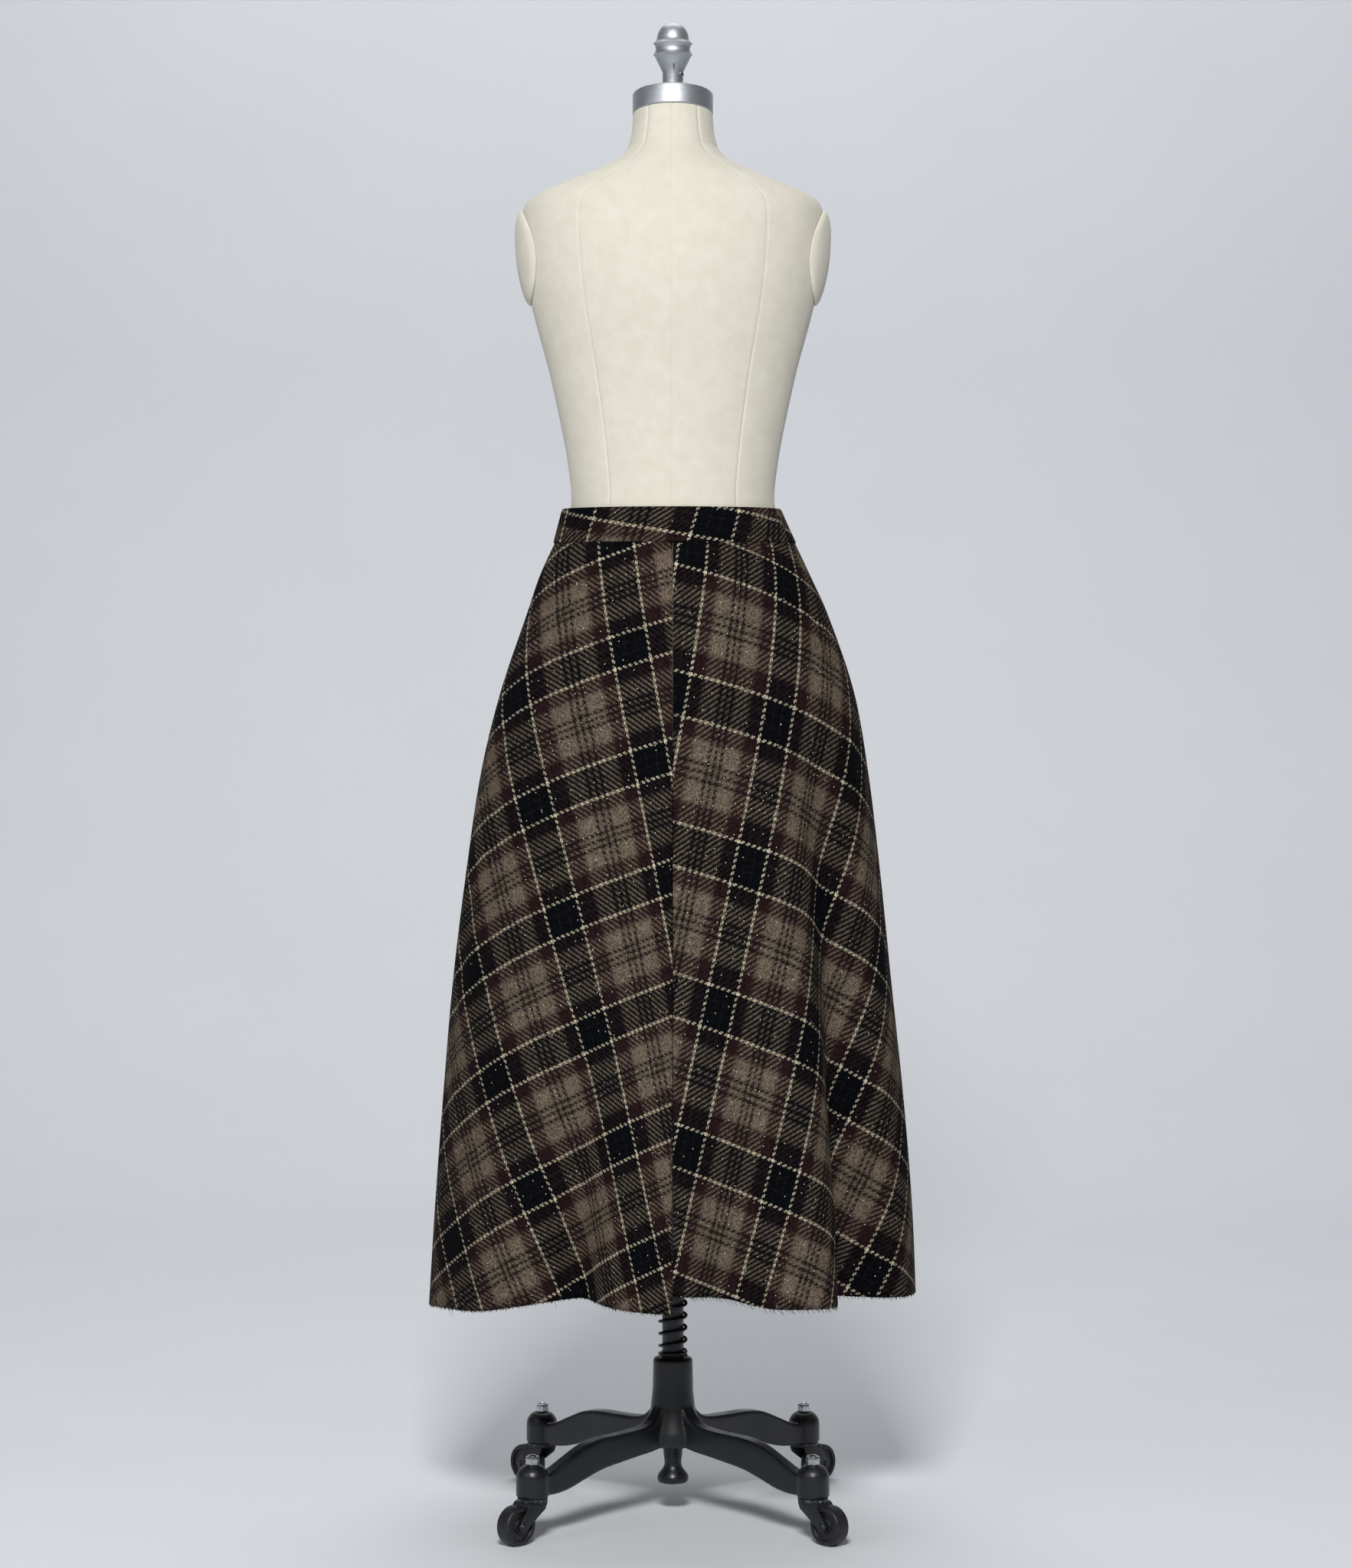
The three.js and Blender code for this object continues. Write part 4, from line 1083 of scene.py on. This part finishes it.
warp_place = radius * np.cos(sweep + WARP_TILT) - SECTOR_RADIUS * math.cos(WARP_TILT) - WARP_START
warp_place += slip(WARP_SLIP_RIGHT, from_right) + slip(WARP_SLIP_LEFT, from_left)
weft_place = radius * np.sin(sweep + WEFT_TILT) - SECTOR_RADIUS * math.sin(WEFT_TILT) - WEFT_START
weft_place += slip(WEFT_SLIP_RIGHT, from_right) + slip(WEFT_SLIP_LEFT, from_left)
threads = np.stack([warp_place, weft_place], -1)


def set_threads(piece, places):
    """UV map of thread places in metres, one pair for each point of the mesh."""
    layer = piece.data.uv_layers.new(name="threads")
    corners = np.empty(len(piece.data.loops), int)
    piece.data.loops.foreach_get("vertex_index", corners)
    layer.data.foreach_set("uv", places.reshape(-1, 2)[corners].ravel())


set_threads(skirt, threads)
apply_modifier(skirt, "SOLIDIFY", thickness=CLOTH * MM, offset=1)
bpy.ops.object.mode_set(mode="EDIT")
bpy.ops.mesh.select_all(action="SELECT")
bpy.ops.mesh.normals_make_consistent(inside=False)
bpy.ops.object.mode_set(mode="OBJECT")
bpy.ops.object.shade_smooth()

BLACK, PLUM, TAUPE, BROWN, IVORY = "05070a", "201314", "5e5347", "171314", "aba38d"
WARP_STRIPES = [  # number of yarns, colour: a black band, then a taupe one with three dark lines
    (10, BLACK),
    (1, BROWN),
    (7, BLACK),
    (1, BROWN),
    (10, BLACK),
    (11, PLUM),
    (13, TAUPE),
    (2, BLACK),
    (3, TAUPE),
    (2, BLACK),
    (3, TAUPE),
    (2, BLACK),
    (14, TAUPE),
    (13, PLUM),
]
WEFT_STRIPES = [
    (8, BLACK),
    (1, BROWN),
    (5, BLACK),
    (1, BROWN),
    (8, BLACK),
    (9, PLUM),
    (11, TAUPE),
    (2, BLACK),
    (2, TAUPE),
    (2, BLACK),
    (2, TAUPE),
    (2, BLACK),
    (11, TAUPE),
    (9, PLUM),
]
# Two ivory yarns run along both edges of each black band.
WARP_LINES = [(2, "ffffff"), (25, "000000"), (2, "ffffff"), (63, "000000")]
WEFT_LINES = [(2, "ffffff"), (19, "000000"), (2, "ffffff"), (50, "000000")]
WARP_YARN, WEFT_YARN = 162.5 / 92 * MM, 129 / 73 * MM
NAP = 4.5 * MM  # how far the brushed fibres carry a stripe's colour over its edge
NEP_SPACING, NEP_RADIUS = 11 * MM, 0.6 * MM

wool, tree, shader = new_material("napped_wool_twill")
uv = add_node(tree, "ShaderNodeUVMap", {"uv_map": "threads"}).outputs[0]
nap = add_node(
    tree,
    "ShaderNodeTexNoise",
    {"noise_dimensions": "2D"},
    {"Vector": uv, "Scale": 1 / (2.6 * MM), "Detail": 4.0, "Roughness": 0.65},
)
nap_middle = add_node(
    tree, "ShaderNodeVectorMath", {"operation": "SUBTRACT"}, {0: nap.outputs["Color"], 1: (0.5, 0.5, 0.5)}
)
napped = add_node(
    tree,
    "ShaderNodeVectorMath",
    {"operation": "MULTIPLY_ADD"},
    {0: nap_middle.outputs[0], 1: (NAP, NAP, 0), 2: uv},
)
yarn_sizes = (1 / WARP_YARN, 1 / WEFT_YARN, 1)
counts = []
for source in (napped, None):
    place = source.outputs[0] if source else uv
    scaled = add_node(tree, "ShaderNodeVectorMath", {"operation": "MULTIPLY"}, {0: place, 1: yarn_sizes})
    counts.append(scaled.outputs[0])
napped_count = add_node(tree, "ShaderNodeSeparateXYZ", inputs={0: counts[0]})
yarn_number = add_node(tree, "ShaderNodeVectorMath", {"operation": "FLOOR"}, {0: counts[1]})
number_axes = add_node(tree, "ShaderNodeSeparateXYZ", inputs={0: yarn_number.outputs[0]})


def stripes(stripe_rows, count, soft):
    """Colour of the yarn with this number; the rows repeat, and pass over softly into each other."""
    period = sum(yarns for yarns, colour in stripe_rows)
    turns = add_node(tree, "ShaderNodeMath", {"operation": "MULTIPLY_ADD"}, {0: count, 1: 1 / period, 2: 0.5 / period})
    share = add_node(tree, "ShaderNodeMath", {"operation": "FRACT"}, {0: turns.outputs[0]})
    ramp = add_node(tree, "ShaderNodeValToRGB", inputs={"Fac": share.outputs[0]})
    stops = ramp.color_ramp.elements
    stops.remove(stops[1])
    stops[0].color = linear(stripe_rows[0][1])
    first = 0
    for (yarns, colour), (next_yarns, next_colour) in zip(stripe_rows, stripe_rows[1:]):
        first += yarns
        edge = soft * min(1, yarns / 3, next_yarns / 3)
        stops.new((first - edge) / period).color = linear(colour)
        stops.new((first + edge) / period).color = linear(next_colour)
    return ramp.outputs["Color"]


def mix(factor, under, over, blend="MIX"):
    settings = {"data_type": "RGBA", "blend_type": blend}
    return add_node(tree, "ShaderNodeMix", settings, {"Factor": factor, "A": under, "B": over}).outputs["Result"]


ground = []
for rows, lines, axis in ((WARP_STRIPES, WARP_LINES, "X"), (WEFT_STRIPES, WEFT_LINES, "Y")):
    line = stripes(lines, number_axes.outputs[axis], 0.01)
    ground.append(mix(line, stripes(rows, napped_count.outputs[axis], 1.8), linear(IVORY)))

# Two over, two under, one step to the side in each row: the diagonal of a twill.
# Dark fibres from the crossing yarn work up through a pale one.
step = add_node(
    tree, "ShaderNodeMath", {"operation": "ADD"}, {0: number_axes.outputs["X"], 1: number_axes.outputs["Y"]}
)
quarter = add_node(tree, "ShaderNodeMath", {"operation": "MULTIPLY_ADD"}, {0: step.outputs[0], 1: 0.25, 2: 0.01})
place_in_four = add_node(tree, "ShaderNodeMath", {"operation": "FRACT"}, {0: quarter.outputs[0]})
warp_up = add_node(tree, "ShaderNodeMath", {"operation": "LESS_THAN"}, {0: place_in_four.outputs[0], 1: 0.5})
warp_seen = mix(0.36, ground[0], ground[1], "DARKEN")
weft_seen = mix(0.36, ground[1], ground[0], "DARKEN")
woven = mix(warp_up.outputs[0], weft_seen, warp_seen)

# Each crossing and its loose fibres are a little lighter or darker, and white neps are caught in them.
crossing = add_node(
    tree, "ShaderNodeTexWhiteNoise", {"noise_dimensions": "2D"}, {"Vector": yarn_number.outputs[0]}
)
fibres = add_node(
    tree,
    "ShaderNodeTexNoise",
    {"noise_dimensions": "2D"},
    {"Vector": uv, "Scale": 1 / (2.0 * MM), "Detail": 4.0, "Roughness": 0.7},
)
tone = add_node(
    tree,
    "ShaderNodeMath",
    {"operation": "MULTIPLY_ADD"},
    {0: crossing.outputs["Value"], 1: 0.5, 2: fibres.outputs["Fac"]},
)
fibre_tone = add_node(
    tree,
    "ShaderNodeMapRange",
    inputs={"Value": tone.outputs[0], "From Min": 0.3, "From Max": 1.2, "To Min": 0.1, "To Max": 1.9},
)
fibrous = add_node(
    tree, "ShaderNodeVectorMath", {"operation": "SCALE"}, {0: woven, "Scale": fibre_tone.outputs[0]}
)
cells = add_node(
    tree,
    "ShaderNodeTexVoronoi",
    {"voronoi_dimensions": "2D"},
    {"Vector": uv, "Scale": 1 / NEP_SPACING, "Randomness": 1.0},
)
near = add_node(
    tree,
    "ShaderNodeMath",
    {"operation": "LESS_THAN"},
    {0: cells.outputs["Distance"], 1: NEP_RADIUS / NEP_SPACING},
)
chosen = add_node(tree, "ShaderNodeSeparateColor", inputs={0: cells.outputs["Color"]})
few = add_node(tree, "ShaderNodeMath", {"operation": "LESS_THAN"}, {0: chosen.outputs[0], 1: 0.25})
nep = add_node(tree, "ShaderNodeMath", {"operation": "MULTIPLY"}, {0: near.outputs[0], 1: few.outputs[0]})
wool_colour = mix(nep.outputs[0], fibrous.outputs[0], linear("cbc5b4"))
relief = add_node(
    tree,
    "ShaderNodeMath",
    {"operation": "MULTIPLY_ADD"},
    {0: fibres.outputs["Fac"], 1: 1.2, 2: warp_up.outputs[0]},
)
wool_bump = add_node(
    tree, "ShaderNodeBump", inputs={"Height": relief.outputs[0], "Strength": 0.35, "Distance": 0.5 * MM}
)
tree.links.new(wool_colour, shader.inputs["Base Color"])
tree.links.new(wool_bump.outputs[0], shader.inputs["Normal"])
shader.inputs["Roughness"].default_value = 0.95
shader.inputs["Specular IOR Level"].default_value = 0.05
fit(skirt, wool, "form", "wool_plaid", "skirt_body")

# Raw hem
# Nothing is sewn along the lower edge: cut yarns have worked loose in a short uneven fringe,
# denser to the right of the seam, with a few long threads hanging from it.
FUZZ_STRANDS, YARN_ENDS = 2600, 420
STRANDS, STRAND_SIDES = FUZZ_STRANDS + YARN_ENDS, 3
STRAND_SHARES = (0.0, 0.45, 0.8, 1.0)
rng = np.random.default_rng(7)
loose_end = np.arange(STRANDS) >= FUZZ_STRANDS
spot = rng.random(STRANDS)
spot[loose_end] = (np.arange(YARN_ENDS) + 0.7 * rng.random(YARN_ENDS)) / YARN_ENDS
spot = np.interp(spot, girth_share[-1], np.arange(columns) - 0.001)
column = spot.astype(int)
between = (spot - column)[:, None]
edge, above = cloth[-1], cloth[-3]
root = edge[column] * (1 - between) + edge[column + 1] * between
down = root - (above[column] * (1 - between) + above[column + 1] * between)
down = down / np.linalg.norm(down, axis=-1, keepdims=True)
along = edge[column + 1] - edge[column]
along = along / np.linalg.norm(along, axis=-1, keepdims=True)
inward = np.cross(down, along)
inward = inward * -np.sign((inward * root)[:, :2].sum(-1))[:, None]
root = root + inward * (0.1 + 0.8 * rng.random((STRANDS, 1))) * CLOTH * MM
right_of_seam = np.clip(1.4 - skirt_angles[column] / 60, 0, 1)
long_thread = rng.random(STRANDS) < 0.005
length = 0.7 + 1.8 * rng.random(STRANDS) ** 1.5
length = np.where(loose_end, 2.0 + 2.0 * rng.random(STRANDS) + 2.4 * right_of_seam, length)
length = np.where(long_thread, 8 + 4 * rng.random(STRANDS), length) * MM
thickness = np.where(loose_end, 0.55, 0.28)[:, None] * MM
lean = (rng.normal(0.15, 0.3, STRANDS) + 0.7 * right_of_seam * loose_end)[:, None]
stray = rng.normal(0, 0.3, STRANDS)[:, None]
curl = rng.normal(0, 0.35, STRANDS)[:, None]
strand_points = []
for share in STRAND_SHARES:
    reach = length[:, None] * share
    centre = root - down * 0.6 * MM + down * reach + along * reach * (lean + curl * share)
    centre = centre + inward * reach * stray * share
    thin = thickness * (1.2 - 0.8 * share)
    for side in range(STRAND_SIDES):
        turn = 2 * math.pi * side / STRAND_SIDES
        strand_points.append(centre + (along * math.cos(turn) + inward * math.sin(turn)) * thin)
ring_count = len(STRAND_SHARES)
strand_points = np.stack(strand_points, 1)
per_strand = ring_count * STRAND_SIDES
strand_faces = []
for strand in range(STRANDS):
    base = strand * per_strand
    for ring in range(ring_count - 1):
        for side in range(STRAND_SIDES):
            a = base + ring * STRAND_SIDES + side
            b = base + ring * STRAND_SIDES + (side + 1) % STRAND_SIDES
            strand_faces.append((a, b, b + STRAND_SIDES, a + STRAND_SIDES))
    strand_faces.append((base + 2, base + 1, base))
    tip = base + (ring_count - 1) * STRAND_SIDES
    strand_faces.append((tip, tip + 1, tip + 2))
fringe = start_piece("raw_hem", strand_points.reshape(-1, 3), faces=strand_faces)
root_threads = threads[-1][column] * (1 - between) + threads[-1][column + 1] * between
set_threads(fringe, np.repeat(root_threads, per_strand, axis=0))
bpy.ops.object.mode_set(mode="EDIT")
bpy.ops.mesh.select_all(action="SELECT")
bpy.ops.mesh.normals_make_consistent(inside=False)
bpy.ops.object.mode_set(mode="OBJECT")
bpy.ops.object.shade_smooth()
fit(fringe, wool, "form", "wool_plaid", "hem_fray")

# Waistband
# A straight strip of the same wool, folded double and sewn round the top of the skirt, its lower
# edge lapped just over it. It is cut across the skirt's grain, and its ends meet on the right.
BAND_ROWS = [  # height, left, right, back, front in mm
    (1113.8, 137, 141.5, 106, 104),
    (1134, 131.5, 132, 100, 100),
    (1153.5, 126.5, 123.5, 95, 96),
]
BAND_CLOSURE, BAND_THICKNESS = 71, 4
BAND_COLUMNS, BAND_LINES = 240, 14
BAND_WARP_LEAN, BAND_WEFT_SLOPE = math.radians(17.5), math.radians(9.5)
BAND_WARP_START, BAND_WEFT_START = 0.0252, -0.0096
band_round = np.linspace(0.06, 359.94, BAND_COLUMNS + 1)
band_share = np.linspace(0, 1, BAND_LINES + 1)
round_grid, up_grid = np.meshgrid(band_round, band_share)
band_low, band_high = BAND_ROWS[0][0], BAND_ROWS[-1][0]
band_height = band_low + (band_high - band_low) * up_grid
sizes = [smooth_curve(BAND_ROWS, column, band_height) for column in (1, 2, 3, 4)]
band_point, band_out = oval(BAND_CLOSURE + round_grid, *sizes)
swell = 0.7 * np.sqrt(np.maximum(0, 1 - (2 * up_grid - 1) ** 8)) - 0.7
ripple = 0.35 * np.sin(np.radians(round_grid * 9 + 40)) * np.sin(math.pi * up_grid)
band_point = band_point + band_out * (swell + ripple)[..., None]
band = np.concatenate([band_point, band_height[..., None]], -1) * MM
waistband = start_piece("wool_waistband", band.reshape(-1, 3), faces=grid_faces(BAND_LINES + 1, BAND_COLUMNS + 1, False))
band_steps = np.linalg.norm(np.diff(band, axis=1), axis=-1)
band_arc = np.concatenate([np.zeros((BAND_LINES + 1, 1)), np.cumsum(band_steps, axis=1)], axis=1)
seam_column = np.argmin(np.abs(band_round - (360 - BAND_CLOSURE)))
band_arc = band_arc - band_arc[:, seam_column:seam_column + 1]
band_drop = (band_high - band_height) * MM
band_warp = (band_arc + band_drop * math.tan(BAND_WARP_LEAN)) * math.cos(BAND_WARP_LEAN) - BAND_WARP_START
band_weft = (band_drop - band_arc * math.tan(BAND_WEFT_SLOPE)) * math.cos(BAND_WEFT_SLOPE) - BAND_WEFT_START
set_threads(waistband, np.stack([band_warp, band_weft], -1))
apply_modifier(waistband, "SOLIDIFY", thickness=BAND_THICKNESS * MM, offset=-1)
round_edges(waistband, 1.1, 3, 60)
fit(waistband, wool, "form", "wool_plaid", "waistband")

# Floor and backdrop
# One sweep of pale studio paper, flat under the stand and curving up behind it.
# It is clear from its other side, so that the part can be looked at from all round.
FLOOR_HALF, SWEEP_START, SWEEP_RADIUS, SWEEP_TOP = 6.0, 2.2, 1.6, 5.0
sweep_turns = np.linspace(0, math.pi / 2, 17)
sweep_line = [(-7.0, 0.0)]
sweep_line += [
    (SWEEP_START + SWEEP_RADIUS * math.sin(t), SWEEP_RADIUS * (1 - math.cos(t))) for t in sweep_turns
]
sweep_line.append((SWEEP_START + SWEEP_RADIUS, SWEEP_TOP))
points = [(x, y, z) for y, z in sweep_line for x in (-FLOOR_HALF, FLOOR_HALF)]
paper_faces = [(2 * i, 2 * i + 1, 2 * i + 3, 2 * i + 2) for i in range(len(sweep_line) - 1)]
paper = start_piece("paper_sweep", points, faces=paper_faces)
bpy.ops.object.shade_smooth()
paper_material, tree, shader = new_material("studio_paper")
place = add_node(tree, "ShaderNodeTexCoord").outputs["Object"]
mottle = add_node(tree, "ShaderNodeTexNoise", inputs={"Vector": place, "Scale": 3.0, "Detail": 5.0})
paper_colour = add_node(
    tree,
    "ShaderNodeMix",
    {"data_type": "RGBA"},
    {"Factor": mottle.outputs["Fac"], "A": linear("dbdde1"), "B": linear("e0e2e6")},
)
tree.links.new(paper_colour.outputs["Result"], shader.inputs["Base Color"])
shader.inputs["Roughness"].default_value = 0.9
shader.inputs["Specular IOR Level"].default_value = 0.1
from_behind = add_node(tree, "ShaderNodeNewGeometry").outputs["Backfacing"]
clear = add_node(tree, "ShaderNodeBsdfTransparent")
one_sided = add_node(
    tree, "ShaderNodeMixShader", inputs={0: from_behind, 1: shader.outputs[0], 2: clear.outputs[0]}
)
tree.links.new(one_sided.outputs[0], tree.nodes["Material Output"].inputs["Surface"])
paper.data.materials.append(paper_material)

# Studio light
# A large soft box high in front, a weaker one from the left, a broad one above the paper behind the stand, and an even
# grey surround.
def soft_box(name, place, aim, size, power):
    lamp = bpy.data.lights.new(name, "AREA")
    lamp.shape = "SQUARE"
    lamp.size = size
    lamp.energy = power
    light = bpy.data.objects.new(name, lamp)
    light.location = place
    light.rotation_euler = (Vector(aim) - Vector(place)).to_track_quat("-Z", "Y").to_euler()
    bpy.context.collection.objects.link(light)


soft_box("key_box", (-0.2, -4.4, 3.7), (0, 0, 0.7), 1.0, 238)
soft_box("fill_box", (-3.0, -2.6, 2.2), (0, 0, 0.8), 2.0, 15)
soft_box("back_box", (0, 1.9, 4.6), (0, 2.6, 0.5), 3.0, 72)
world = bpy.data.worlds.new("studio_surround")
world.use_nodes = True
world.node_tree.nodes["Background"].inputs["Color"].default_value = linear("dfe2e8")
world.node_tree.nodes["Background"].inputs["Strength"].default_value = 0.18
bpy.context.scene.world = world
bpy.context.scene.view_settings.view_transform = "Standard"

# Camera
# As the photograph was taken: a long lens at hip height, tilted a little down.
PHOTO_WIDTH, PHOTO_HEIGHT, FOCAL_PIXELS = 1765, 2047, 5195
camera_data = bpy.data.cameras.new("camera")
camera_data.sensor_fit = "VERTICAL"
camera_data.sensor_height = 36
camera_data.lens = FOCAL_PIXELS / PHOTO_HEIGHT * camera_data.sensor_height
camera = bpy.data.objects.new("camera", camera_data)
camera.location = (0.0036, -4.556, 0.990)
camera.rotation_euler = (math.radians(90 - 1.90), 0, 0)
bpy.context.collection.objects.link(camera)
bpy.context.scene.camera = camera
